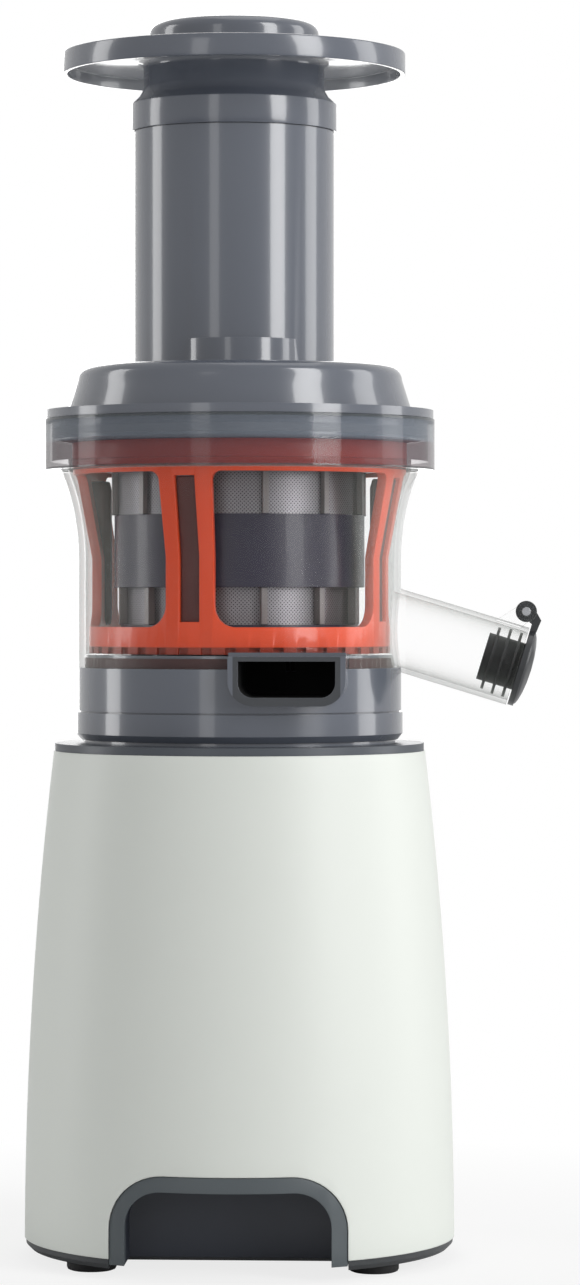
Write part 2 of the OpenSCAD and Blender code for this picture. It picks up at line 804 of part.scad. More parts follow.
module idler_gear_left() {
    color([0.93, 0.92, 0.88]) idler_gear(idler_angle + 180);
}

module idler_gear_right() {
    color([0.93, 0.92, 0.88]) idler_gear(idler_angle);
}

module scroll_gear() {
    color([0.25, 0.26, 0.28]) translate([0, 0, gear_z]) linear_extrude(gear_h) difference() {
        outer_gear_2d(sun_teeth);
        circle(r = bowl_tube_r + run_gap);
    }
}

// ---------- strainer ----------

rib_count = 12;

module strainer_ribs(r_in, r_out, z0, z1) {
    for (i = [0:rib_count - 1]) rotate((i + 0.5) * 360 / rib_count)
        translate([r_in, -1.1, z0 - eps]) cube([r_out - r_in, 2.2, z1 - z0 + 2 * eps]);
}

module strainer_frame() {
    color([0.24, 0.23, 0.28]) union() {
        difference() {
            ring(strainer_in_r, sun_tip_r + 0.9, strainer_z, mesh_low_z);
            pulp_chute(1.6, strainer_z - 1, mesh_low_z + 1);
        }
        rotate_extrude() polygon([
            [mesh_low_r - 0.4, mid_z], [strainer_r, mid_z], [strainer_r, mesh_up_z],
            [strainer_in_r, mesh_up_z], [strainer_in_r, mid_z + 2], [mesh_low_r - 0.4, mid_z + 1.2]]);
        ring(strainer_ring_r, strainer_in_r, ring_z, strainer_top);
        strainer_ribs(mesh_low_r + mesh_t / 2, strainer_r - 1, mesh_low_z, mid_z);
        strainer_ribs(mesh_up_r + mesh_t / 2, strainer_r + 1.4, mesh_up_z, ring_z);
    }
}

module strainer_mesh_lower() {
    color([0.62, 0.61, 0.60]) ring(mesh_low_r + mesh_t / 2, mesh_low_r - mesh_t / 2, mesh_low_z, mid_z);
}

module strainer_mesh_upper() {
    color([0.62, 0.61, 0.60]) ring(mesh_up_r + mesh_t / 2, mesh_up_r - mesh_t / 2, mesh_up_z, ring_z);
}

// ---------- wiper cage ----------

// one bar of a post, as an outline seen from outside, wider at its foot and head
module post_bar(angle_from, angle_to) {
    rotate_extrude(angle = angle_to - angle_from) polygon([
        [wiper_bore_r - 0.2, wiper_foot_top - 1], [wiper_foot_r - 0.15, wiper_foot_top - 1],
        [wiper_foot_r - 0.15, flare_z], [wiper_ring_r - 0.15, wiper_ring_z + 1],
        [wiper_ring_r - wiper_wall - 0.2, wiper_ring_z + 1], [wiper_bore_r - 0.2, flare_z]]);
}

module wiper_frame() {
    bar = (post_angle - blade_slot_angle) / 2;
    color([0.87, 0.32, 0.16]) union() {
        difference() {
            ring(wiper_foot_r, ring_tip_r - 2, wiper_z, wiper_foot_top);
            ring(wiper_bore_r, 1, gear_top + run_gap, wiper_foot_top + 1);
            translate([0, 0, wiper_z - 1]) linear_extrude(gear_top + run_gap - wiper_z + 2)
                rotate(ring_turn) gear_2d(ring_teeth, ring_tip_r, ring_root_r, -backlash);
            for (i = [0:notch_count - 1]) rotate(i * 360 / notch_count)
                translate([wiper_foot_r - 1.5, -1.8, wiper_z - 1]) cube([5, 3.6, 3.3]);
        }
        ring(wiper_ring_r, wiper_ring_r - wiper_wall, wiper_ring_z, wiper_top);
        at_posts() {
            rotate(-post_angle / 2) post_bar(0, bar);
            rotate(post_angle / 2 - bar) post_bar(0, bar);
        }
    }
}

blade_slot_angle = 4;
ring_turn = idler_angle + (mesh_turn(idler_angle) - idler_angle) * idler_teeth / ring_teeth;

module wiper_blades() {
    color([0.20, 0.18, 0.20]) at_posts() {
        translate([strainer_r + 2, -blade_w / 2 + 0.2, wiper_foot_top])
            cube([wiper_foot_r - 1.4 - strainer_r - 2, blade_w - 0.4,
                min(wiper_ring_z, ring_z - run_gap) - wiper_foot_top]);
    }
}

// ---------- scroll ----------

flight_steps = 30;

// radius of the scroll's edge and of its core at a height
function edge_r(z) = z < mid_z - 1 ? scroll_low_r
    : z > mid_z + 3 ? scroll_up_r
    : scroll_low_r + (scroll_up_r - scroll_low_r) * max(0, (z - mid_z - 2) / 1);
function core_r(z) = core_low_r + (core_top_r - core_low_r) * (z - scroll_z - shoulder_h)
    / (scroll_top - scroll_z - shoulder_h);

// a screw flight between two heights: four corners to each section, swept upwards
module flight(start, turns, z0, z1) {
    n = round(flight_steps * turns);
    function at(i) = z0 + (z1 - z0) * i / n;
    function corner(i, r, dz) = concat(polar(r, start - turns * 360 * i / n), [at(i) + dz]);
    points = [for (i = [0:n])
        let (out = min(edge_r(at(i) - flight_edge_t / 2), edge_r(at(i) + flight_edge_t / 2)),
            inn = core_r(at(i)) - 2)
        each [corner(i, inn, -flight_root_t / 2), corner(i, out, -flight_edge_t / 2),
            corner(i, out, flight_edge_t / 2), corner(i, inn, flight_root_t / 2)]];
    side_faces = [for (i = [0:n - 1]) for (k = [0:3])
        let (a = 4 * i + k, b = 4 * i + (k + 1) % 4)
        each [[a, b + 4, b], [a, a + 4, b + 4]]];
    polyhedron(points, concat(side_faces, [[0, 1, 2, 3], [4 * n + 3, 4 * n + 2, 4 * n + 1, 4 * n]]));
}

module scroll() {
    color([0.35, 0.37, 0.41]) difference() {
        union() {
            rotate_extrude() polygon([
                [0, scroll_z], [sun_tip_r - 0.6, scroll_z], [sun_tip_r - 0.6, mesh_low_z + run_gap],
                [core_low_r + 4, mesh_low_z + run_gap], [core_low_r + 4, mesh_low_z + 1.4],
                [core_low_r, scroll_z + shoulder_h + 3],
                [core_top_r, scroll_top - 6], [core_top_r - 3, scroll_top],
                [pin_r, scroll_top], [pin_r, scroll_top + pin_h - 1], [pin_r - 1, scroll_top + pin_h],
                [0, scroll_top + pin_h]]);
            flight(0, 2.25, mesh_low_z + 4, scroll_top - 10);
            flight(180, 1, mesh_low_z + 4, mid_z + 16);
        }
        translate([0, 0, scroll_z - 1]) cylinder(r = bowl_tube_r + run_gap, h = skirt_top - scroll_z + 1);
        translate([0, 0, skirt_top - 1]) cylinder(r = socket_r, h = hex_h + 4);
    }
}

module scroll_socket() {
    socket_top = skirt_top + hex_h + 3;
    color([0.76, 0.77, 0.79]) difference() {
        translate([0, 0, skirt_top]) cylinder(r = socket_r, h = socket_top - skirt_top);
        translate([0, 0, skirt_top - 1]) rotate(30)
            cylinder(r = socket_af / 2 / cos(30), h = socket_top - skirt_top - 1, $fn = 6);
        translate([0, 0, skirt_top - 1]) cylinder(r = tube_in_r, h = 2);
    }
}

// ---------- spout closure ----------

module spout_cap() {
    plate_in = 0.4;
    plate_out = 2.4;
    color([0.23, 0.25, 0.26]) at_spout() difference() {
        union() {
            translate([plate_in, 0, 0]) rotate([0, 90, 0]) cylinder(r = spout_r - 0.3, h = plate_out - plate_in);
            translate([-hinge_back, 0, hinge_rise]) rotate([90, 0, 0])
                cylinder(r = hinge_r, h = 2 * (ear_gap - run_gap), center = true);
            rotate([90, 0, 0]) linear_extrude(2 * (ear_gap - run_gap), center = true)
                polygon([[plate_in, spout_r - 4], [plate_out, spout_r - 4],
                    [plate_out + 0.8, hinge_rise - 1.5], [-hinge_back + 1, hinge_rise + hinge_r - 0.5],
                    [-hinge_back + 1, hinge_rise - hinge_r + 1], [plate_in, hinge_rise - hinge_r]]);
        }
        translate([-hinge_back, 0, hinge_rise]) rotate([90, 0, 0])
            cylinder(r = hinge_pin_r, h = 40, center = true);
    }
}

module spout_stopper() {
    lips = [[2, 0.8], [5.9, 0.6], [9.8, 1.3]];
    color([0.07, 0.07, 0.08]) at_spout() rotate([0, -90, 0]) union() {
        translate([0, 0, -0.4]) cylinder(r = stopper_core_r, h = stopper_len + 0.4);
        for (lip = lips) translate([0, 0, lip[0] - 0.5]) cylinder(r = spout_in - lip[1], h = 1);
    }
}

module cap_hinge_pin() {
    color([0.75, 0.76, 0.78]) at_spout() translate([-hinge_back, 0, hinge_rise]) rotate([90, 0, 0])
        cylinder(r = hinge_pin_r, h = 2 * (ear_gap + ear_t), center = true);
}

// ---------- lid ----------

skirt_r = collar_r - collar_wall - 0.4;
skirt_wall = 2.2;
skirt_z = flange_z - 7.2;
dome_low_r = collar_r - 8;
dome_top_r = collar_r - 11.3;
dome_corner = 4.6;
hold_r = strainer_ring_r - 0.2;
hub_low = bush_top - 17;

// points of an arc from one angle to another
function arc(centre, r, from, to, n) =
    [for (i = [0:n]) centre + polar(r, from + (to - from) * i / n)];

module lid() {
    slope_top = lid_top - dome_corner;
    plate_low = lid_top - lid_wall;
    hub_top = lid_top + hub_h;
    core_r = bush_r + 3.5;
    color([0.40, 0.42, 0.46]) difference() {
        union() {
            rotate_extrude() polygon(concat([
                [0, plate_low], [dome_top_r - lid_wall - 2, plate_low],
                [dome_top_r - lid_wall, plate_low - 2], [dome_low_r - lid_wall, flange_z + fit_gap],
                [skirt_r - skirt_wall, flange_z + fit_gap], [skirt_r - skirt_wall, skirt_z],
                [skirt_r, skirt_z], [skirt_r, flange_z + fit_gap],
                [collar_r - 0.4, flange_z + fit_gap], [collar_r - 0.4, flange_top],
                [dome_low_r, flange_top]],
                arc([dome_top_r - dome_corner, slope_top], dome_corner, 0, 90, 6),
                [[0, lid_top]]));
            translate([0, 0, plate_low + 1]) cylinder(r = hub_r, h = hub_top - plate_low - 1);
            at_tube() {
                translate([0, 0, plate_low + 0.5]) cylinder(r = tube_r, h = shoulder_z - plate_low - 0.5);
                translate([0, 0, shoulder_z - 1]) cylinder(r = spigot_r, h = spigot_h + 1);
            }
            ring(hold_r, hold_r - 2.6, strainer_top + 0.3, plate_low + 1.5);
            translate([0, 0, hub_low]) cylinder(r = core_r, h = lid_top - hub_low);
        }
        // inside of the feed tube, round the hub's core
        difference() {
            at_tube() translate([0, 0, lid_top]) cylinder(r = tube_in, h = far);
            translate([0, 0, lid_top - 1]) cylinder(r = core_r, h = hub_h + 1);
        }
        // feed passage through the dome beside the hub
        intersection() {
            at_tube() translate([0, 0, plate_low - 1]) cylinder(r = tube_in, h = lid_wall + 1.5);
            ring(strainer_in_r, core_r, plate_low - 2, lid_top + 1);
        }
        translate([0, 0, skirt_z - 10]) cylinder(r = bush_r, h = bush_top - skirt_z + 10);
    }
}

module lid_bush() {
    color([0.85, 0.84, 0.80]) difference() {
        translate([0, 0, hub_low + 0.5]) cylinder(r = bush_r, h = bush_top - hub_low - 0.5);
        translate([0, 0, hub_low - 1]) cylinder(r = pin_r + 0.3, h = bush_top - hub_low - 0.5);
    }
}

module lid_seal() {
    color([0.30, 0.31, 0.33]) ring(skirt_r + 0.25, skirt_r, skirt_z + 1, skirt_z + 4);
}

// ---------- food tray and pusher ----------

module food_tray() {
    flare_top = tray_collar_top + 5.8;
    color([0.40, 0.42, 0.46]) at_tube() rotate_extrude() polygon([
        [tray_collar_in, tray_collar_z], [tray_collar_r, tray_collar_z], [tray_collar_r, tray_collar_top],
        [neck_r + 1.6, tray_collar_top + 2.6], [neck_r, flare_top],
        [neck_r, tray_plate_z - 1.5], [neck_r + 1.5, tray_plate_z],
        [tray_r - 1.7, tray_plate_z], [tray_r - 1.7, tray_top - tray_rim_h],
        [tray_r, tray_top - tray_rim_h], [tray_r, tray_top - 0.6], [tray_r - 0.6, tray_top],
        [tray_r - 2.2, tray_top], [tray_r - 3.4, tray_plate_top],
        [neck_in, tray_plate_top], [neck_in, tube_top + fit_gap], [tray_collar_in, tube_top + fit_gap]]);
}

module pusher_body() {
    low = tray_plate_top - pusher_len;
    color([0.40, 0.42, 0.46]) at_tube() rotate_extrude() polygon([
        [0, low], [pusher_r - 1.5, low], [pusher_r, low + 1.5], [pusher_r, cap_z],
        [pusher_r - pusher_wall, cap_z], [pusher_r - pusher_wall, low + pusher_wall],
        [0, low + pusher_wall]]);
}

module pusher_cap() {
    crown = 1.2;
    corner = 4;
    crown_r = ((cap_r - corner) ^ 2 + crown ^ 2) / (2 * crown);
    color([0.40, 0.42, 0.46]) at_tube() rotate_extrude() difference() {
        union() {
            translate([0, cap_z]) square([cap_r, cap_h - crown - corner]);
            translate([0, cap_z]) square([cap_r - corner, cap_h - crown]);
            translate([cap_r - corner, cap_top - crown - corner]) circle(r = corner);
            intersection() {
                translate([0, cap_top - crown - 1]) square([cap_r - corner, crown + 1]);
                translate([0, cap_top - crown_r]) circle(r = crown_r, $fn = 512);
            }
        }
        translate([-far, 0]) square([far, far * 3]);
        translate([-1, cap_z - 1]) square([pusher_r - pusher_wall + 1, cap_h - 4]);
    }
}

base_shell();
top_deck();
base_plate();
rubber_feet();
grip_recess();
base_screws();
motor_can();
motor_cap();
gearbox_housing();
motor_carrier();
output_bearing();
shaft_seal();
control_board();
switch_bezel();
switch_rocker();
cord_gland();
drive_shaft();
bowl_base();
bowl_wall();
bowl_gasket();
idler_pins();
idler_gear_left();
idler_gear_right();
strainer_frame();
strainer_mesh_lower();
strainer_mesh_upper();
wiper_frame();
wiper_blades();
scroll();
scroll_gear();
scroll_socket();
spout_cap();
spout_stopper();
cap_hinge_pin();
lid();
lid_bush();
lid_seal();
food_tray();
pusher_body();
pusher_cap();
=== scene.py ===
"""Cold press juicer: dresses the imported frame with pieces, materials, lights and a camera."""

import math

import bpy
from bpy.props import FloatProperty, FloatVectorProperty, IntProperty, PointerProperty
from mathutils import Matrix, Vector


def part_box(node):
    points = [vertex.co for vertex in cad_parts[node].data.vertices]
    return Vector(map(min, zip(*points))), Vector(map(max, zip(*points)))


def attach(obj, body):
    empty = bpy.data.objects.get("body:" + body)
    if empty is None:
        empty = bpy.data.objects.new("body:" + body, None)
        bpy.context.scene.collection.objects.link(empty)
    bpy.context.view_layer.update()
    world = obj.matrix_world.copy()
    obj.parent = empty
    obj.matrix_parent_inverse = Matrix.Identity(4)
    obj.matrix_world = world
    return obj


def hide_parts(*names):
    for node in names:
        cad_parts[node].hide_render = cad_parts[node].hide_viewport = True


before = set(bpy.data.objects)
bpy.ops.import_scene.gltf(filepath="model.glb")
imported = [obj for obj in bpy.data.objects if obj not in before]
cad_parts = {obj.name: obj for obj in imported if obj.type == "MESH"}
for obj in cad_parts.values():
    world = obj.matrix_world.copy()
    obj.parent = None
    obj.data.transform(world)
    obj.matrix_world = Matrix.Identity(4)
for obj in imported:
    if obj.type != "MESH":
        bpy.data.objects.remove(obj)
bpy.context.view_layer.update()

bl_info = {
    "name": "Cold press juicer",
    "version": (1, 0, 0),
    "blender": (4, 5, 0),
    "location": "3D View > Sidebar > Juicer",
    "description": "Builds the visible pieces and finishes of a juicer on its packed frame",
    "category": "Object",
}

MM = 0.001
FULL_TURN = 2 * math.pi
EDGE_ANGLE = math.radians(32)   # edges sharper than this are rounded
WELD = 1e-6                     # metres; vertices closer than this are one

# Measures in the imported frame, in millimetres unless the comment says otherwise.
FAR = 1000.0                    # beyond the object on every side
SIDE_ARC = 1508.9               # radius of the arc that the power base's side follows
FLOOR_RADIUS = 75.0             # of that side, at the floor
SHELL_FOOT, SHELL_TOP = 7.0, 176.0
SHELL_WALL = 2.5
SHELL_INSET = 0.02              # keeps the finer facets of the shell inside the solid's
SHELL_STEPS = 192               # facets round the shell and the grip's face
GRIP_CORNER = 19.0              # rounding of the grip's arch
GRIP_DEEP = (68.0, 70.5)        # distance from the axis where the painted shade of the grip's inside begins
TUBE = (-3.2, 20.0)             # vertical axis of the feed tube, the tray and the pusher
COLLAR = (273.6, 291.2)         # heights of the clear bowl's collar
RING_TOP = 283.0                # the painted shade over the wiper's top ring, seen through the collar, reaches up to here
SPOUT = ((58, -30, 180), (FAR, 30, 240))           # block round the juice spout
SPOUT_TILT = 17.0               # degrees down from level
SPOUT_END = (96.947, 0.0, 205.403)                 # middle of the spout's mouth
OUTLET_FACE = ((1.4, -70, 190), (37.6, -61.2, 215))
OUTLET_HOLE = ((3.1, -61.7, 195.5), (35.9, -10, 207.9))
STRAINER_RIBS = ((220.2, 232.6), (258.0, 272.8))   # heights of the two mesh bands
NOTCHES = (205.0, 212.4)        # heights of the row of notches round the wiper's foot
# heights of the food tray's underside, which carries a painted reflection
TRAY_UNDERSIDE = (411.0, 418.1)
WINDOW_TURN, SLOT_TURN = -60.5, -105.5             # degrees to the first of four


def srgb(red, green, blue):
    """A colour written as 0 to 255 on a screen, as the linear values that a shader takes."""
    def linear(value):
        value /= 255
        return value / 12.92 if value <= 0.04045 else ((value + 0.055) / 1.055) ** 2.4
    return linear(red), linear(green), linear(blue)


# ---------- settings ----------

def colour_setting(name, description, default):
    return FloatVectorProperty(name=name, description=description, default=default,
                               subtype="COLOR", size=3, min=0, max=1)


def length_setting(name, description, default):
    return FloatProperty(name=name, description=description, default=default * MM,
                         min=0, unit="LENGTH", subtype="DISTANCE", precision=5)


class JuicerColours(bpy.types.PropertyGroup):
    shell: colour_setting("Shell", "Satin white moulding of the power base", srgb(231, 235, 229))
    slate: colour_setting("Slate", "Grey of the lid, tray, pusher and bowl base", srgb(92, 97, 108))
    grip: colour_setting("Grip", "Dark grey of the arched grip", srgb(84, 91, 95))
    # Recess: painted shade, the near black drawn on the inside of the grip's pocket
    recess: colour_setting("Recess", "Near black of the grip's inside", srgb(46, 50, 60))
    wiper: colour_setting("Wiper", "Orange of the turning wiper cage", srgb(238, 76, 26))
    blade: colour_setting("Blades", "Dark maroon of the wiper's soft blades", srgb(88, 44, 42))
    gasket: colour_setting("Gasket", "Dark red of the bowl's gasket", srgb(70, 40, 40))
    strainer: colour_setting("Strainer", "Dark violet of the strainer's frame", srgb(33, 28, 50))
    clear: colour_setting("Clear plastic", "Tint of the clear bowl", srgb(226, 233, 226))
    mesh: colour_setting("Mesh", "Steel of the strainer's mesh bands", srgb(136, 134, 138))
    rubber: colour_setting("Rubber", "Black of the feet and seals", srgb(30, 30, 32))


class JuicerSizes(bpy.types.PropertyGroup):
    window_corner: length_setting("Window corner", "Lower rounding of the wiper's windows", 7.5)
    mesh_pitch: length_setting("Mesh pitch", "Distance between the holes of the mesh bands", 1.3)
    steps: IntProperty(name="Steps", description="Facets round a turned piece that sets no other",
                       default=128, min=24, max=256)
    lamp: FloatProperty(name="Lamp power", description="Power that the soft lights take shares of",
                        default=20.0, min=0, unit="POWER")
    lens: FloatProperty(name="Lens", description="Focal length of the camera in millimetres",
                        default=126.0, min=20)


def colours():
    return bpy.context.scene.juicer_colours


def sizes():
    return bpy.context.scene.juicer_sizes


# ---------- modelling by operators ----------

def deselect():
    if bpy.context.mode != "OBJECT":
        bpy.ops.object.mode_set(mode="OBJECT")
    bpy.ops.object.select_all(action="DESELECT")


def only(obj):
    """Selects one object and makes it active."""
    deselect()
    obj.select_set(True)
    bpy.context.view_layer.objects.active = obj
    return obj


def named(name):
    obj = bpy.context.object
    obj.name = obj.data.name = name
    return obj


def apply_place(obj):
    only(obj)
    bpy.ops.object.transform_apply(location=True, rotation=True, scale=True)
    return obj


def pick(obj, kind, test):
    """In edit mode, selects the vertices, edges or faces whose middle passes the test."""
    bpy.ops.mesh.select_mode(type=kind)
    bpy.ops.mesh.select_all(action="DESELECT")
    bpy.ops.object.mode_set(mode="OBJECT")
    mesh = obj.data
    if kind == "VERT":
        for vertex in mesh.vertices:
            vertex.select = test(vertex.co)
    elif kind == "EDGE":
        for edge in mesh.edges:
            a, b = (mesh.vertices[i].co for i in edge.vertices)
            edge.select = test((a + b) / 2, (b - a).normalized())
    else:
        for face in mesh.polygons:
            face.select = test(face.center, face.normal)
    bpy.ops.object.mode_set(mode="EDIT")


def box(name, low, high):
    """A block between two corners in millimetres."""
    deselect()
    low, high = Vector(low) * MM, Vector(high) * MM
    bpy.ops.mesh.primitive_cube_add(size=1, location=(low + high) / 2, scale=high - low)
    return apply_place(named(name))


def rod(name, start, end, radius):
    """A round bar between two points in millimetres."""
    deselect()
    start, end = Vector(start) * MM, Vector(end) * MM
    along = end - start
    turn = Vector((0, 0, 1)).rotation_difference(along).to_euler()
    bpy.ops.mesh.primitive_cylinder_add(vertices=48, radius=radius * MM, depth=along.length,
                                        location=(start + end) / 2, rotation=turn)
    return apply_place(named(name))


def turned(name, section, centre=(0, 0), steps=None, closed=True):
    """Draws a section of (radius, height) points in millimetres and spins it round a vertical."""
    deselect()
    x, y = centre
    bpy.ops.mesh.primitive_plane_add(size=MM)
    obj = named(name)
    bpy.ops.object.mode_set(mode="EDIT")
    bpy.ops.mesh.select_mode(type="VERT")
    bpy.ops.mesh.select_all(action="SELECT")
    bpy.ops.mesh.merge(type="CENTER")
    points = [Vector((x + r, y, z)) * MM for r, z in section]
    bpy.ops.transform.translate(value=points[0])
    for last, point in zip(points, points[1:]):
        bpy.ops.mesh.extrude_region_move(TRANSFORM_OT_translate={"value": point - last})
    if closed:
        pick(obj, "VERT", lambda spot: min((spot - points[0]).length,
                                           (spot - points[-1]).length) < WELD / 10)
        bpy.ops.mesh.edge_face_add()
    bpy.ops.mesh.select_all(action="SELECT")
    bpy.ops.mesh.spin(steps=steps or sizes().steps, angle=FULL_TURN,
                      center=(x * MM, y * MM, 0), axis=(0, 0, 1))
    bpy.ops.mesh.select_all(action="SELECT")
    bpy.ops.mesh.remove_doubles(threshold=WELD)
    bpy.ops.mesh.normals_make_consistent(inside=False)
    bpy.ops.object.mode_set(mode="OBJECT")
    return obj


def arc(centre, radius, start, end, count):
    """Points of an arc in the section plane, angles in degrees from the radius axis."""
    return [(centre[0] + radius * math.cos(math.radians(start + (end - start) * i / count)),
             centre[1] + radius * math.sin(math.radians(start + (end - start) * i / count)))
            for i in range(count + 1)]


def combine(obj, tool, operation="DIFFERENCE"):
    """Cuts, joins or meets the piece with a tool object, which is used up."""
    only(obj)
    mod = obj.modifiers.new("combine", "BOOLEAN")
    mod.operation, mod.object, mod.solver = operation, tool, "EXACT"
    bpy.ops.object.modifier_apply(modifier=mod.name)
    only(tool)
    bpy.ops.object.delete()
    return only(obj)


def joined(obj, *others):
    only(obj)
    for other in others:
        other.select_set(True)
    bpy.ops.object.join()
    return only(obj)


def copied_round(obj, angles):
    """Turns the object round the vertical axis to the first angle and joins a copy at each of the
    others. The angles are in degrees."""
    copies = []
    for angle in reversed(angles):
        only(obj)
        if angle != angles[0]:
            bpy.ops.object.duplicate()
            copies.append(bpy.context.object)
        placed(bpy.context.object, angle)
    return joined(obj, *copies)


def spaced(count, start=0.0):
    """Angles in degrees that share a full turn evenly."""
    return [start + 360 * i / count for i in range(count)]


def placed(obj, degrees, axis="Z", shift=None):
    """Turns a whole mesh about an axis through the origin, counter-clockwise seen from the end of
    that axis, and moves it by a shift in millimetres."""
    only(obj)
    bpy.ops.object.mode_set(mode="EDIT")
    bpy.ops.mesh.select_all(action="SELECT")
    # The operator's angle has its sign turned round when there is no window.
    bpy.ops.transform.rotate(value=-math.radians(degrees), orient_axis=axis,
                             center_override=(0, 0, 0))
    if shift:
        bpy.ops.transform.translate(value=Vector(shift) * MM)
    bpy.ops.object.mode_set(mode="OBJECT")
    return obj


def rounded(obj, width, segments=3):
    """Rounds the sharp edges and shades the piece smooth between them."""
    only(obj)
    mod = obj.modifiers.new("edges", "BEVEL")
    mod.width, mod.segments = width * MM, segments
    mod.limit_method, mod.angle_limit = "ANGLE", EDGE_ANGLE
    mod.miter_outer = "MITER_ARC"
    bpy.ops.object.modifier_apply(modifier=mod.name)
    return smooth(obj)


def smooth(obj, angle=30):
    """Shades the piece smooth across edges flatter than the angle in degrees."""
    only(obj)
    bpy.ops.object.shade_smooth_by_angle(angle=math.radians(angle))
    return obj


def traced(node, name):
    """A copy of a frame node with its loose triangles joined and its round faces shaded smooth."""
    only(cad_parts[node])
    bpy.ops.object.duplicate()
    obj = named(name)
    for key in list(obj.keys()):
        if key.startswith("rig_"):
            del obj[key]
    bpy.ops.object.mode_set(mode="EDIT")
    bpy.ops.mesh.select_all(action="SELECT")
    bpy.ops.mesh.remove_doubles(threshold=2 * WELD)
    bpy.ops.object.mode_set(mode="OBJECT")
    if obj.data.has_custom_normals:
        bpy.ops.mesh.customdata_custom_splitnormals_clear()
    return smooth(obj)


def dress(obj, material, body, slot, *nodes):
    """Gives a finished piece its material, its body and the frame nodes it stands for; the slot is
    not used.
    """
    obj.data.materials.clear()
    obj.data.materials.append(material)
    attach(obj, body)
    if nodes:
        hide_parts(*nodes)
    return obj


def dress_copy(node, name, material, body, slot):
    """Dresses a traced copy of a frame node, which it stands for."""
    return dress(traced(node, name), material, body, slot, node)


def finish_node(node, material):
    """Gives a frame node that stays in view its material."""
    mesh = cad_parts[node].data
    mesh.materials.clear()
    mesh.materials.append(material)


# ---------- shader maths ----------

class Wire:
    """One socket in a node tree. Arithmetic with wires and numbers adds Math nodes."""

    def __init__(self, tree, socket=None):
        self.tree, self.socket = tree, socket

    def node(self, kind, settings=None, values=None, out=0):
        """Adds a node: its settings first, then the values or links of its sockets."""
        made = self.tree.nodes.new("ShaderNode" + kind)
        for key, value in (settings or {}).items():
            setattr(made, key, value)
        for key, value in (values or {}).items():
            if isinstance(value, Wire):
                self.tree.links.new(value.socket, made.inputs[key])
            else:
                made.inputs[key].default_value = value
        return Wire(self.tree, made.outputs[out] if len(made.outputs) else None)

    def math(self, operation, *values):
        return self.node("Math", {"operation": operation}, dict(enumerate(values)))

    def __add__(self, other):
        return self.math("ADD", self, other)

    __radd__ = __add__

    def __sub__(self, other):
        return self.math("SUBTRACT", self, other)

    def __rsub__(self, other):
        return self.math("SUBTRACT", other, self)

    def __mul__(self, other):
        return self.math("MULTIPLY", self, other)

    __rmul__ = __mul__

    def __pow__(self, other):
        return self.math("POWER", self, other)

    def mix(self, low, high):
        """A colour between two, by this wire as the factor."""
        return self.node("Mix", {"data_type": "RGBA"}, {0: self, 6: low, 7: high}, out=2)

    def between(self, low, high):
        """This wire stretched so that low becomes 0 and high becomes 1, and clamped."""
        return self.node("MapRange", {"clamp": True},
                         {"Value": self, "From Min": low, "From Max": high})


def shade(colour, factor=1.0):
    """The colour made lighter or darker, with the alpha that a socket asks for."""
    return tuple(min(1.0, channel * factor) for channel in colour[:3]) + (1.0,)


def cleared(owner):
    """The empty node tree of a material or a world, as the wire that its nodes start from."""
    owner.use_nodes = True
    owner.node_tree.nodes.clear()
    return Wire(owner.node_tree)


materials = {}


def surface(name, paint):
    """A material whose paint function returns the values and links of its main shader."""
    if name not in materials:
        made = bpy.data.materials.new(name)
        start = cleared(made)
        shader = start.node("BsdfPrincipled", values=paint(start))
        start.node("OutputMaterial", values={"Surface": shader})
        materials[name] = made
    return materials[name]


def place(start):
    return start.node("TexCoord", out="Object")


def noise(start, scale, detail, where=None):
    return start.node("TexNoise", values={"Vector": where or place(start), "Scale": scale,
                                          "Detail": detail})


def bumped(start, height, strength, distance, normal=None):
    """A normal with a fine relief, whose distance is in millimetres, on top of another normal."""
    values = {"Height": height, "Strength": strength, "Distance": distance * MM}
    if normal:
        values["Normal"] = normal
    return start.node("Bump", values=values)


def edges(start, radius):
    """The normal rounded over the edges, and a mask that is 1 on them."""
    soft = start.node("Bevel", {"samples": 4}, {"Radius": radius * MM})
    flat = start.node("NewGeometry", out="Normal")
    along = start.node("VectorMath", {"operation": "DOT_PRODUCT"}, {0: soft, 1: flat}, out="Value")
    return soft, (1 - along).between(0.01, 0.2)


def zone(start, low, high, soft=0.15):
    """A mask that is 1 inside a block between two corners in millimetres."""
    mask = 1.0
    for axis, low_side, high_side in zip("XYZ", low, high):
        spot = start.node("SeparateXYZ", values={"Vector": place(start)}, out=axis)
        mask = (spot.between((low_side - soft) * MM, (low_side + soft) * MM)
                - spot.between((high_side - soft) * MM, (high_side + soft) * MM)) * mask
    return mask


def layer(start, low, high, soft=0.15):
    """A mask that is 1 between two heights in millimetres."""
    return zone(start, (-FAR, -FAR, low), (FAR, FAR, high), soft)


def from_axis(start, centre=(0.0, 0.0)):
    """Distance from the vertical axis through a point in millimetres."""
    flat = start.node("Mapping", values={"Vector": place(start), "Scale": (1.0, 1.0, 0.0),
                                         "Location": (-centre[0] * MM, -centre[1] * MM, 0.0)})
    return start.node("VectorMath", {"operation": "LENGTH"}, {0: flat}, out="Value")


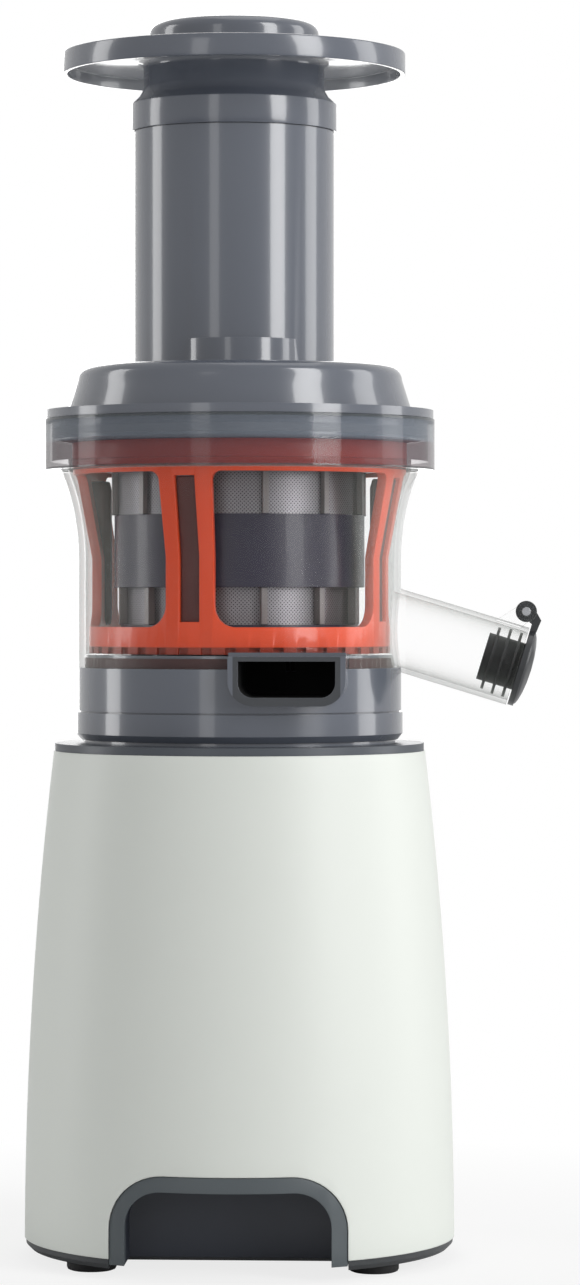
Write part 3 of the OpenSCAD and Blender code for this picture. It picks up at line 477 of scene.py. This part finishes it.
def moulded(colour, rough, grain=0.12, mottle=0.04, edge=0.35, edge_highlight=0.12, coat=0.0, zones=None,
            deep=None):
    """Paint of a moulded plastic: fine grain, faint flow clouds, painted highlights along the
    edges, other tones in zones, among them painted shade and a painted reflection, and no gloss
    where it is deep."""
    def paint(start):
        matt = deep(start) if deep else 0.0
        clouds = noise(start, scale=28.0, detail=3.0)
        fine = noise(start, scale=2600.0, detail=2.0)
        soft, rim = edges(start, edge)
        body = clouds.mix(shade(colour, 1 - mottle), shade(colour, 1 + mottle))
        for mask, other in zones(start) if zones else ():
            body = mask.mix(body, shade(other))
        # painted highlight along the edges: the edge mask mixes the colour towards a paler tone
        tone = (rim * edge_highlight).mix(body, shade(colour, 1.9))
        return {
            "Base Color": tone,
            "Roughness": rough + (fine - 0.5) * 0.10 + (clouds - 0.5) * 0.08 + rim * 0.05
                         + matt * 0.6,
            "Coat Weight": coat * (1 - matt), "Coat Roughness": 0.08,
            "Normal": bumped(start, fine, strength=grain, distance=0.05, normal=soft),
        }
    return paint


def rubbery(colour, rough=0.62):
    """Paint of black rubber or a soft seal: fine grain, dust and painted highlights along the
    edges.
    """
    def paint(start):
        fine = noise(start, scale=1500.0, detail=3.0)
        dust = noise(start, scale=60.0, detail=3.0)
        soft, rim = edges(start, radius=0.4)
        return {
            # dust lightens at random; the edge mask adds a painted highlight along the edges
            "Base Color": (dust * 0.5 + rim * 0.4).mix(shade(colour, 0.8), shade(colour, 1.5)),
            "Roughness": rough + (fine - 0.5) * 0.15 + dust * 0.08,
            "Normal": bumped(start, fine, strength=0.25, distance=0.1, normal=soft),
        }
    return paint


def turned_steel(colour):
    """Paint of a steel part with fine marks round its vertical axis."""
    def paint(start):
        spot = place(start)
        squeezed = start.node("Mapping", values={"Vector": spot, "Scale": (40.0, 40.0, 4000.0)})
        lines = noise(start, scale=1.0, detail=2.0, where=squeezed)
        clouds = noise(start, scale=50.0, detail=2.0)
        soft, rim = edges(start, radius=0.25)
        return {
            # the edge mask adds a painted highlight along the edges
            "Base Color": (lines * 0.6 + rim * 0.3).mix(shade(colour, 0.85), shade(colour, 1.12)),
            "Metallic": 1.0,
            "Roughness": 0.28 + (lines - 0.5) * 0.2 + (clouds - 0.5) * 0.1,
            "Normal": bumped(start, lines, strength=0.15, distance=0.03, normal=soft),
        }
    return paint


def clear_plastic(colour, smoke, ring_shade, outline):
    """Paint of the clear bowl: open face on, grey and dense seen edge on, smoky in its collar, with
    painted shade over the wiper's top ring seen through the collar's lower half and darker lips."""
    low, high = COLLAR

    def paint(start):
        facing = start.node("LayerWeight", values={"Blend": 0.35}, out="Facing")
        smears = noise(start, scale=45.0, detail=3.0)
        soft, rim = edges(start, radius=0.3)
        collar = layer(start, low, FAR)
        # darker lines along the collar's lower and upper lips; the upper one is painted shadow
        # under the lid's flange
        lips = layer(start, low - 0.2, low + 0.7) + layer(start, high - 0.9, FAR)
        side = facing ** (2.2 - zone(start, *SPOUT) * 0.4)
        # painted shade: a darker reddish tint over the wiper's top ring, seen through the collar's
        # lower half
        tint = layer(start, low, RING_TOP, soft=0.3).mix(shade(smoke), shade(ring_shade))
        wall = side.mix(collar.mix(shade(colour), tint), shade(outline))
        cover = (0.008 + side * 0.75 + rim * 0.25 + collar * 0.32 + lips * 0.4
                 + (smears - 0.5) * 0.01)
        return {
            "Base Color": (lips * 0.8).mix(wall, shade(outline, 0.5)),
            "Roughness": 0.06 + (smears - 0.5) * 0.05,
            "Alpha": start.math("MINIMUM", cover, 1.0),
            "Normal": soft,
            "Specular IOR Level": 0.5,
        }
    return paint


def woven_mesh(colour, radius):
    """Paint of a perforated steel band of a radius in millimetres: rows of small holes."""
    pitch = sizes().mesh_pitch
    count = round(FULL_TURN * radius * MM / pitch)

    def paint(start):
        spot = place(start)
        x, y, z = (start.node("SeparateXYZ", values={"Vector": spot}, out=axis)
                   for axis in "XYZ")
        around = start.math("ARCTAN2", y, x) * count
        up = z * (FULL_TURN / pitch)
        holes = (start.math("COSINE", around) * start.math("COSINE", up)).between(0.35, 0.75)
        clouds = noise(start, scale=55.0, detail=2.0)
        return {
            # the holes are real; their near black is painted shade of the strainer's inside seen
            # through them
            "Base Color": holes.mix(clouds.mix(shade(colour, 0.85), shade(colour, 1.15)),
                                    shade(colour, 0.12)),
            "Metallic": 0.75,
            "Roughness": 0.38 + (clouds - 0.5) * 0.15,
            "Normal": bumped(start, 1 - holes, strength=0.6, distance=0.25),
        }
    return paint


def silicone(colour):
    """Paint of a soft silicone: the wiper's blades and the bowl's gasket."""
    def paint(start):
        fine = noise(start, scale=900.0, detail=2.0)
        soft, rim = edges(start, radius=0.3)
        return {
            # the edge mask adds a painted highlight along the edges
            "Base Color": (fine * 0.4 + rim * 0.4).mix(shade(colour, 0.85), shade(colour, 1.4)),
            "Roughness": 0.5 + (fine - 0.5) * 0.1,
            "Normal": bumped(start, fine, strength=0.12, distance=0.1, normal=soft),
        }
    return paint


def circuit(start):
    """Paint of the control board: solder mask with faint tracks and pads."""
    spot = place(start)
    tracks = start.node("TexBrick", {"offset": 0.37}, {
        "Vector": spot, "Scale": 260.0, "Mortar Size": 0.03,
        "Color1": shade(srgb(26, 92, 58)), "Color2": shade(srgb(22, 80, 50)),
        "Mortar": shade(srgb(64, 140, 96))}, out="Color")
    pads = start.node("TexVoronoi", values={"Vector": spot, "Scale": 420.0}, out="Distance")
    dots = 1 - pads.between(0.12, 0.2)
    return {"Base Color": dots.mix(tracks, shade(srgb(196, 186, 150))),
            "Roughness": 0.35 + dots * 0.1, "Metallic": dots * 0.6}


def cast_metal(colour):
    """Paint of the motor's castings and pressings."""
    def paint(start):
        fine = noise(start, scale=700.0, detail=4.0)
        clouds = noise(start, scale=40.0, detail=3.0)
        soft, rim = edges(start, radius=0.4)
        return {
            # clouds vary the tone at random; the edge mask adds a painted highlight along the edges
            "Base Color": (clouds * 0.7 + rim * 0.3).mix(shade(colour, 0.8), shade(colour, 1.2)),
            "Metallic": 0.85,
            "Roughness": 0.45 + (fine - 0.5) * 0.25,
            "Normal": bumped(start, fine, strength=0.3, distance=0.1, normal=soft),
        }
    return paint


def shell_white():
    return surface("shell_satin_white", moulded(colours().shell, rough=0.46, grain=0.05,
                                                mottle=0.012, edge=0.6, edge_highlight=0.3))


def slate():
    return surface("slate_moulding", moulded(colours().slate, rough=0.24, grain=0.04, edge_highlight=0.35,
                                             coat=0.9))


def grip_grey():
    """The grip's moulding, with painted shade inside its rim."""
    def inside(start):
        front = from_axis(start).between(*(distance * MM for distance in GRIP_DEEP))
        # painted shade on the grip's inside, behind its rim
        return [(1 - front, colours().recess)]
    return surface("grip_moulding", moulded(colours().grip, rough=0.42, grain=0.2, edge_highlight=0.3,
                                            zones=inside))


def wiper_orange():
    """Orange of the wiper cage, deeper in the shadowed row of notches round its foot."""
    def notches(start):
        return [(layer(start, *NOTCHES) * 0.85, srgb(140, 44, 24))]
    return surface("wiper_orange", moulded(colours().wiper, rough=0.32, grain=0.03, mottle=0.02,
                                           edge_highlight=0.2, coat=0.2, zones=notches))


def tray_slate():
    """Slate of the food tray, with a paler painted reflection underneath between its collar and its
    rim.
    """
    def underside(start):
        away = from_axis(start, TUBE)
        ring = away.between(35.5 * MM, 37 * MM) * (1 - away.between(59.1 * MM, 59.5 * MM))
        # painted reflection of the white surroundings on the tray's underside
        return [(ring * layer(start, *TRAY_UNDERSIDE) * 0.9, srgb(172, 175, 180))]
    return surface("tray_slate", moulded(colours().slate, rough=0.22, grain=0.03, edge_highlight=0.35,
                                         coat=0.8, zones=underside))


def clear():
    return surface("clear_bowl", clear_plastic(colours().clear, smoke=srgb(134, 143, 156),
                                               ring_shade=srgb(102, 78, 88), outline=srgb(92, 97, 98)))


def strainer_dark():
    """The strainer's moulding, paler on the thin ribs that carry the mesh bands."""
    def ribs(start):
        return [(layer(start, *heights), srgb(128, 124, 124)) for heights in STRAINER_RIBS]
    return surface("strainer_frame_dark", moulded(colours().strainer, rough=0.36, grain=0.02,
                                                  edge_highlight=0.25, coat=0.15, zones=ribs))


def outlet_slate():
    """Slate of the bowl base, darker on the pulp outlet's face, with near black painted shade
    inside it.
    """
    def inside(start):
        return zone(start, *OUTLET_HOLE, soft=0.05)

    def outlet(start):
        # the near black inside the pulp outlet is painted shade
        return [(zone(start, *OUTLET_FACE), srgb(46, 50, 56)), (inside(start), srgb(6, 6, 8))]
    return surface("slate_with_outlet", moulded(colours().slate, rough=0.24, grain=0.04, edge_highlight=0.35,
                                                coat=0.9, zones=outlet, deep=inside))


def black_rubber():
    return surface("black_rubber", rubbery(colours().rubber))


def dark_plastic():
    return surface("dark_moulding", moulded(srgb(52, 55, 58), rough=0.42, edge_highlight=0.25))


def steel():
    return surface("turned_steel", turned_steel(srgb(196, 198, 202)))


# ---------- pieces ----------

def arch(name, half, top, corner, front, back):
    """A block from below the floor, with its two upper corners rounded."""
    obj = box(name, (-half, front, -10), (half, back, top))
    bpy.ops.object.mode_set(mode="EDIT")
    pick(obj, "EDGE", lambda mid, way: abs(way.y) > 0.9 and mid.z > (top - 1) * MM)
    bpy.ops.mesh.bevel(offset=corner * MM, segments=12, affect="EDGES")
    bpy.ops.object.mode_set(mode="OBJECT")
    return obj


def base_radius(z):
    """Radius of the power base's side at a height, in millimetres."""
    return FLOOR_RADIUS - SIDE_ARC + math.sqrt(SIDE_ARC ** 2 - z ** 2)


def curved_block(name, radius, angle, depth, low, high):
    """A block bent round the vertical axis about +X, its corners rounded more below than above."""
    cuts = 24
    half = math.radians(angle) * radius / 2
    obj = box(name, (-half, -depth / 2, low), (half, depth / 2, high))
    bpy.ops.object.mode_set(mode="EDIT")
    for corner, level in ((sizes().window_corner, low), (sizes().window_corner * 0.4, high)):
        pick(obj, "EDGE", lambda mid, way: abs(way.y) > 0.9 and abs(mid.z - level * MM) < MM)
        bpy.ops.mesh.bevel(offset=corner, segments=8, affect="EDGES")
    for i in range(1, cuts):
        bpy.ops.mesh.select_all(action="SELECT")
        bpy.ops.mesh.bisect(plane_co=((i * 2 / cuts - 1) * half * MM, 0, 0), plane_no=(1, 0, 0))
    bpy.ops.object.mode_set(mode="OBJECT")
    bend = obj.modifiers.new("bend", "SIMPLE_DEFORM")
    bend.deform_method, bend.deform_axis, bend.angle = "BEND", "Z", math.radians(angle)
    bpy.ops.object.modifier_apply(modifier=bend.name)
    return placed(obj, 90, shift=(radius, 0, 0))


class JUICER_OT_base(bpy.types.Operator):
    """Models the white shell, the arched grip and the feet, and finishes the rest of the base"""
    bl_idname = "juicer.base"
    bl_label = "Power base"

    def execute(self, context):
        rows = 24
        heights = [SHELL_FOOT + (SHELL_TOP - SHELL_FOOT) * i / rows for i in range(rows + 1)]
        outside = [(base_radius(z) - SHELL_INSET, z) for z in heights]
        inside = [(r - SHELL_WALL, z) for r, z in reversed(outside)]
        shell = turned("white_shell", outside + inside, steps=SHELL_STEPS)
        combine(shell, arch("arch_cut", half=40.3, top=36, corner=GRIP_CORNER, front=-90, back=-30))
        combine(shell, box("switch_cut", (-7.5, 50, 30.5), (7.5, 90, 59.5)))
        combine(shell, rod("gland_cut", (0, 50, 16), (0, 95, 16), radius=6.5))
        dress(rounded(shell, width=0.55), shell_white(), "base", "shell_white", "base_shell")

        deck = surface("deck_satin", moulded(srgb(78, 83, 90), rough=0.36, edge_highlight=0.3))
        dress_copy("top_deck", "deck", deck, "base", "deck_grey")

        foot_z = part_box("grip_recess")[0][2] / MM
        grip = arch("grip_liner", half=40.1, top=35.8, corner=GRIP_CORNER, front=-90, back=-44)
        face = [(base_radius(z) - 0.4, z) for z in (foot_z, 10, 17, 24, 31, 38)]
        face += [(58, 38), (58, foot_z)]
        combine(grip, turned("face", face, steps=SHELL_STEPS), "INTERSECT")
        pocket = arch("pocket", half=37, top=32.7, corner=14.7, front=-61, back=-41.8)
        combine(pocket, box("level", (-90, -90, -20), (90, 0, foot_z)))
        combine(grip, pocket, "UNION")
        combine(grip, arch("hollow", half=34.8, top=30.5, corner=12.5, front=-90, back=-44))
        dress(rounded(grip, width=0.7), grip_grey(), "base", "grip_grey", "grip_recess")

        dress_copy("base_plate", "bottom_plate", dark_plastic(), "base", "plate_dark")
        feet = turned("feet", [(0, 0), (7.2, 0), (8.1, 0.35), (8.5, 1.1), (8.5, 3.5), (0, 3.5)],
                      centre=(62, 0), steps=48, closed=False)
        dress(smooth(copied_round(feet, [39, 141, 219, 321])), black_rubber(), "base",
              "rubber_black", "rubber_feet")
        finish_node("base_screws", steel())
        return {"FINISHED"}


class JUICER_OT_drive(bpy.types.Operator):
    """Finishes the gear motor, its carrier, the shaft and the control board"""
    bl_idname = "juicer.drive"
    bl_label = "Drive"

    def execute(self, context):
        finish_node("motor_can", surface("motor_steel", cast_metal(srgb(150, 152, 156))))
        finish_node("motor_cap", dark_plastic())
        finish_node("gearbox_housing", surface("gearbox_casting", cast_metal(srgb(96, 98, 102))))
        finish_node("motor_carrier", surface("carrier_steel", cast_metal(srgb(172, 174, 178))))
        finish_node("output_bearing", steel())
        finish_node("shaft_seal", black_rubber())
        finish_node("control_board", surface("control_board", circuit))
        dress_copy("drive_shaft", "shaft", steel(), "drive", "steel")
        return {"FINISHED"}


class JUICER_OT_switch(bpy.types.Operator):
    """Models the marks on the rear rocker switch and finishes it, its bezel and the cord gland"""
    bl_idname = "juicer.switch"
    bl_label = "Switch"

    def execute(self, context):
        rocker = surface("switch_black", moulded(srgb(38, 38, 40), rough=0.3))
        dress_copy("switch_rocker", "rocker", rocker, "rocker", "switch_black")
        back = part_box("switch_rocker")[1][1] / MM + 0.05
        depth = 0.65
        bar = box("switch_marks", (-0.45, back - depth, 51.8), (0.45, back, 55.2))
        ring = turned("off_ring", [(1.3, 0), (2.1, 0), (2.1, depth), (1.3, depth)], steps=40)
        placed(ring, -90, "X", (0, back - depth, 36.6))
        white = surface("mark_white", moulded(srgb(226, 226, 222), rough=0.4))
        dress(rounded(joined(bar, ring), width=0.15, segments=2), white, "rocker", "switch_black")
        dress_copy("switch_bezel", "bezel", dark_plastic(), "base", "switch_black")
        dress_copy("cord_gland", "gland", black_rubber(), "base", "rubber_black")
        return {"FINISHED"}


class JUICER_OT_bowl(bpy.types.Operator):
    """Trims the pulp outlet's top and finishes the bowl's base, clear wall, gasket and gear pins"""
    bl_idname = "juicer.bowl"
    bl_label = "Bowl"

    def execute(self, context):
        foot = traced("bowl_base", "bowl_foot")
        combine(foot, box("outlet_trim", (-2, -70, 209.4), (41, -56.6, 216)))
        dress(smooth(foot), outlet_slate(), "bowl", "slate_plastic", "bowl_base")
        dress_copy("bowl_wall", "clear_bowl", clear(), "bowl", "clear_plastic")
        gasket = surface("gasket_red", silicone(colours().gasket))
        dress_copy("bowl_gasket", "gasket", gasket, "bowl", "seal_grey")
        finish_node("idler_pins", steel())
        return {"FINISHED"}


class JUICER_OT_spout(bpy.types.Operator):
    """Crowns the spout's cap and finishes it with its stopper and its hinge pin"""
    bl_idname = "juicer.spout"
    bl_label = "Spout closure"

    def execute(self, context):
        cap = traced("spout_cap", "cap")
        dome = turned("dome", [(0, 1.4), (13.1, 1.4), (13.1, 2.3), (12.6, 2.9), (11.2, 3.5),
                               (8.4, 4.2), (4.6, 4.7), (0, 4.9)], steps=96, closed=False)
        placed(dome, 90 + SPOUT_TILT, "Y", SPOUT_END)
        dark = surface("cap_dark", moulded(srgb(40, 43, 46), rough=0.32, coat=0.3))
        dress(smooth(joined(cap, dome)), dark, "spout_closure", "cap_dark", "spout_cap")
        black = surface("stopper_black", rubbery(srgb(24, 25, 27), rough=0.5))
        dress_copy("spout_stopper", "stopper", black, "spout_closure", "stopper_black")
        finish_node("cap_hinge_pin", steel())
        return {"FINISHED"}


class JUICER_OT_strainer(bpy.types.Operator):
    """Finishes the strainer's frame and its two mesh bands"""
    bl_idname = "juicer.strainer"
    bl_label = "Strainer"

    def execute(self, context):
        dress_copy("strainer_frame", "strainer", strainer_dark(), "bowl", "strainer_dark")
        for band, radius in (("mesh_lower", 39.5), ("mesh_upper", 42.8)):
            node = "strainer_" + band
            woven = surface(node, woven_mesh(colours().mesh, radius))
            dress_copy(node, band, woven, "bowl", "mesh_steel")
        return {"FINISHED"}


class JUICER_OT_wiper(bpy.types.Operator):
    """Models the orange wiper cage with its windows, slots and notched foot, and its blades"""
    bl_idname = "juicer.wiper"
    bl_label = "Wiper"

    def execute(self, context):
        cage = turned("wiper_cage", [
            (43.7, 209.9), (52.4, 209.9), (52.4, 243), (58.3, 274.5), (58.3, 282.9), (55, 282.9),
            (55, 275.5), (49.1, 243), (49.1, 217.4), (43.7, 217.4)], steps=160)
        window = curved_block("window", radius=54, angle=71, depth=28, low=219.2, high=272.0)
        slot = box("slot", (40, -3.6, 221), (66, 3.6, 270.5))
        notch = box("notch", (50.9, -1.8, 205), (58, 1.8, 212.2))
        for tool, angles in ((window, spaced(4, WINDOW_TURN)), (slot, spaced(4, SLOT_TURN)),
                             (notch, spaced(40))):
            combine(cage, copied_round(tool, angles))
        dress(rounded(cage, width=0.4, segments=2), wiper_orange(), "wiper", "wiper_orange",
              "wiper_frame")

        blade = box("blades", (49.5, -3.4, 219), (51.2, 3.4, 270.2))
        bpy.ops.object.mode_set(mode="EDIT")
        for height in (243, 257):
            bpy.ops.mesh.select_all(action="SELECT")
            bpy.ops.mesh.bisect(plane_co=(0, 0, height * MM), plane_no=(0, 0, 1))
        for level, flare in ((250, 2.4), (265, 2.6)):
            pick(blade, "VERT", lambda spot: spot.x > 50 * MM and spot.z > level * MM)
            bpy.ops.transform.translate(value=(flare * MM, 0, 0))
        pick(blade, "FACE", lambda middle, way: way.x < -0.9)
        bpy.ops.mesh.inset(thickness=2.6 * MM)
        bpy.ops.transform.translate(value=(-1.6 * MM, 0, 0))
        bpy.ops.object.mode_set(mode="OBJECT")
        copied_round(rounded(blade, width=0.5, segments=2), spaced(4, SLOT_TURN))
        maroon = surface("blade_silicone", silicone(colours().blade))
        dress(smooth(blade), maroon, "wiper", "wiper_silicone", "wiper_blades")
        return {"FINISHED"}


class JUICER_OT_scroll(bpy.types.Operator):
    """Finishes the scroll, its gear and socket and the two idler gears"""
    bl_idname = "juicer.scroll"
    bl_label = "Scroll"

    def execute(self, context):
        grey = surface("scroll_grey", moulded(srgb(92, 96, 104), rough=0.36, edge_highlight=0.3))
        dress_copy("scroll", "press_scroll", grey, "scroll", "scroll_grey")
        dress_copy("scroll_gear", "sun_gear", grey, "scroll", "scroll_grey")
        dress_copy("scroll_socket", "hex_socket", steel(), "scroll", "steel")
        ivory = surface("gear_ivory", moulded(srgb(232, 228, 214), rough=0.4, grain=0.1))
        for side in ("left", "right"):
            dress_copy("idler_gear_" + side, "idler_" + side, ivory, "idler_" + side, "gear_ivory")
        return {"FINISHED"}


class JUICER_OT_lid(bpy.types.Operator):
    """Finishes the lid with its feed tube, bush and seal"""
    bl_idname = "juicer.lid"
    bl_label = "Lid"

    def execute(self, context):
        dress_copy("lid", "lid_cover", slate(), "lid", "slate_plastic")
        finish_node("lid_bush", surface("bush_ivory", moulded(srgb(214, 210, 198), rough=0.4)))
        seal = surface("seal_grey", rubbery(srgb(120, 122, 126), rough=0.5))
        dress_copy("lid_seal", "seal", seal, "lid", "seal_grey")
        return {"FINISHED"}


class JUICER_OT_tray(bpy.types.Operator):
    """Models the round food tray with its neck and collar"""
    bl_idname = "juicer.tray"
    bl_label = "Food tray"

    def execute(self, context):
        tray = turned("tray", [
            (34.1, 393.55), (36.2, 393.55), (36.2, 403.2), (33.7, 405.4), (32.4, 407.4),
            (31.9, 409), (31.9, 415.6), *arc((34.1, 415.6), 2.2, 180, 90, 5), (58.6, 417.8),
            (58.8, 417.6), (58.8, 413.8), (60.5, 413.8), (60.5, 420.7), (60.3, 421.15),
            (59.9, 421.3), (58.5, 421.3), (57.6, 420.6), (57.1, 419.9), (56.3, 419.6),
            (29.4, 419.6), (28.6, 418.8), (28.6, 402.3), (34.1, 402.3)], TUBE, steps=160)
        dress(rounded(tray, width=0.35), tray_slate(), "tray", "slate_plastic", "food_tray")
        return {"FINISHED"}


class JUICER_OT_pusher(bpy.types.Operator):
    """Models the pusher's crowned cap and finishes its body"""
    bl_idname = "juicer.pusher"
    bl_label = "Pusher"

    def execute(self, context):
        cap = turned("pusher_knob", [
            (25.6, 419.75), (29.4, 419.75), (30, 420.4), (30, 427.4),
            *arc((26, 427.55), 4, 10, 80, 8), (24, 431.9), (16, 432.42), (8, 432.67), (0, 432.75),
            (0, 428.75), (25.6, 428.75)], TUBE)
        dress(smooth(cap, 40), slate(), "pusher", "slate_plastic", "pusher_cap")
        dress_copy("pusher_body", "pusher_stem", slate(), "pusher", "slate_plastic")
        return {"FINISHED"}


# ---------- stage ----------

def backdrop_material(name, fade):
    """White floor that keeps the object's soft shadow and fades to pure white between two distances
    in metres from the origin."""
    made = bpy.data.materials.new(name)
    start = cleared(made)
    away = start.node("VectorMath", {"operation": "LENGTH"}, {0: place(start)}, out="Value")
    lit = start.node("BsdfDiffuse", values={"Color": (0.86, 0.86, 0.86, 1)})
    white = start.node("Emission", values={"Color": (1, 1, 1, 1), "Strength": 1.0})
    seen = start.node("LightPath", out="Is Camera Ray")
    share = seen * (0.8 + away.between(*fade) * 0.2)
    blend = start.node("MixShader", values={0: share, 1: lit, 2: white})
    start.node("OutputMaterial", values={"Surface": blend})
    return made


def aimed(name, data, spot, target):
    """Adds a lamp or a camera at a spot, turned towards a target, both in metres."""
    obj = bpy.data.objects.new(name, data)
    bpy.context.scene.collection.objects.link(obj)
    obj.location = spot
    obj.rotation_euler = (Vector(target) - obj.location).to_track_quat("-Z", "Y").to_euler()
    return obj


def soft_lamp(name, spot, target_height, width, height, power):
    """A soft rectangular light turned towards a point on the vertical axis, in metres."""
    lamp = bpy.data.lights.new(name, "AREA")
    lamp.shape, lamp.size, lamp.size_y, lamp.energy = "RECTANGLE", width, height, power
    aimed(name, lamp, spot, (0, 0, target_height))


class JUICER_OT_stage(bpy.types.Operator):
    """Sets the white floor, the soft lights, the world and the camera"""
    bl_idname = "juicer.stage"
    bl_label = "Stage"

    def execute(self, context):
        scene = context.scene
        deselect()
        bpy.ops.mesh.primitive_plane_add(size=8.0, location=(0, 0, 0))
        floor = named("floor")
        floor.data.materials.append(backdrop_material("floor_white", fade=(0.13, 0.34)))

        world = bpy.data.worlds.new("studio")
        start = cleared(world)
        seen = start.node("LightPath", out="Is Camera Ray")
        glossy = start.node("LightPath", out="Is Glossy Ray")
        through = start.node("LightPath", out="Is Transmission Ray")
        plain = start.node("Background", values={"Color": (1, 1, 1, 1), "Strength": 0.25})
        white = start.node("Background", values={"Color": (1, 1, 1, 1), "Strength": 1.0})
        white_share = start.math("MINIMUM", seen + glossy * 0.6 + through, 1.0)
        start.node("OutputWorld", values={
            "Surface": start.node("MixShader", values={0: white_share, 1: plain, 2: white})})
        scene.world = world

        for name, spot, target_height, width, height, share in (
                ("key", (1.4, -0.98, 0.9), 0.22, 0.6, 1.5, 0.95),
                ("right_strip", (1.45, 0.35, 0.45), 0.25, 0.5, 1.5, 0.32),
                ("front_strip", (-0.6, -1.75, 0.5), 0.25, 0.35, 1.4, 0.1),
                ("left_rim", (-1.45, 0.15, 0.5), 0.22, 0.4, 1.4, 0.3),
                ("top", (0.2, 0.1, 1.6), 0.2, 1.0, 1.0, 0.12),
                ("back", (-0.3, 1.7, 0.7), 0.22, 0.8, 1.2, 0.3)):
            soft_lamp(name, spot, target_height, width, height, sizes().lamp * share)

        azimuth, distance, height = math.radians(3.5), 1.57, 0.228
        across, along = math.cos(azimuth), math.sin(azimuth)
        aim_right, aim_height = 0.0176, 0.2136
        data = bpy.data.cameras.new("camera")
        data.lens, data.sensor_width = sizes().lens, 36
        data.clip_start, data.clip_end = 0.05, 50
        scene.camera = aimed("camera", data, (distance * along, -distance * across, height),
                             (aim_right * across, aim_right * along, aim_height))
        scene.view_settings.view_transform = "Standard"
        return {"FINISHED"}


# ---------- panel and registration ----------

steps_in_order = (JUICER_OT_stage, JUICER_OT_base, JUICER_OT_drive, JUICER_OT_switch,
                  JUICER_OT_bowl, JUICER_OT_spout, JUICER_OT_strainer, JUICER_OT_wiper,
                  JUICER_OT_scroll, JUICER_OT_lid, JUICER_OT_tray, JUICER_OT_pusher)


class JUICER_PT_panel(bpy.types.Panel):
    """Lists the pieces of the juicer with their sizes and colours"""
    bl_idname = "JUICER_PT_panel"
    bl_label = "Cold press juicer"
    bl_space_type = "VIEW_3D"
    bl_region_type = "UI"
    bl_category = "Juicer"

    def draw(self, context):
        for group in (context.scene.juicer_colours, context.scene.juicer_sizes):
            column = self.layout.column(align=True)
            for name in group.__annotations__:
                column.prop(group, name)
        for step in steps_in_order:
            self.layout.operator(step.bl_idname)


classes = (JuicerColours, JuicerSizes, *steps_in_order, JUICER_PT_panel)


def register():
    for cls in classes:
        bpy.utils.register_class(cls)
    bpy.types.Scene.juicer_colours = PointerProperty(type=JuicerColours)
    bpy.types.Scene.juicer_sizes = PointerProperty(type=JuicerSizes)


def unregister():
    del bpy.types.Scene.juicer_sizes
    del bpy.types.Scene.juicer_colours
    for cls in reversed(classes):
        bpy.utils.unregister_class(cls)


def main():
    register()
    for step in steps_in_order:
        group, name = step.bl_idname.split(".")
        getattr(getattr(bpy.ops, group), name)()


if __name__ == "__main__":
    main()
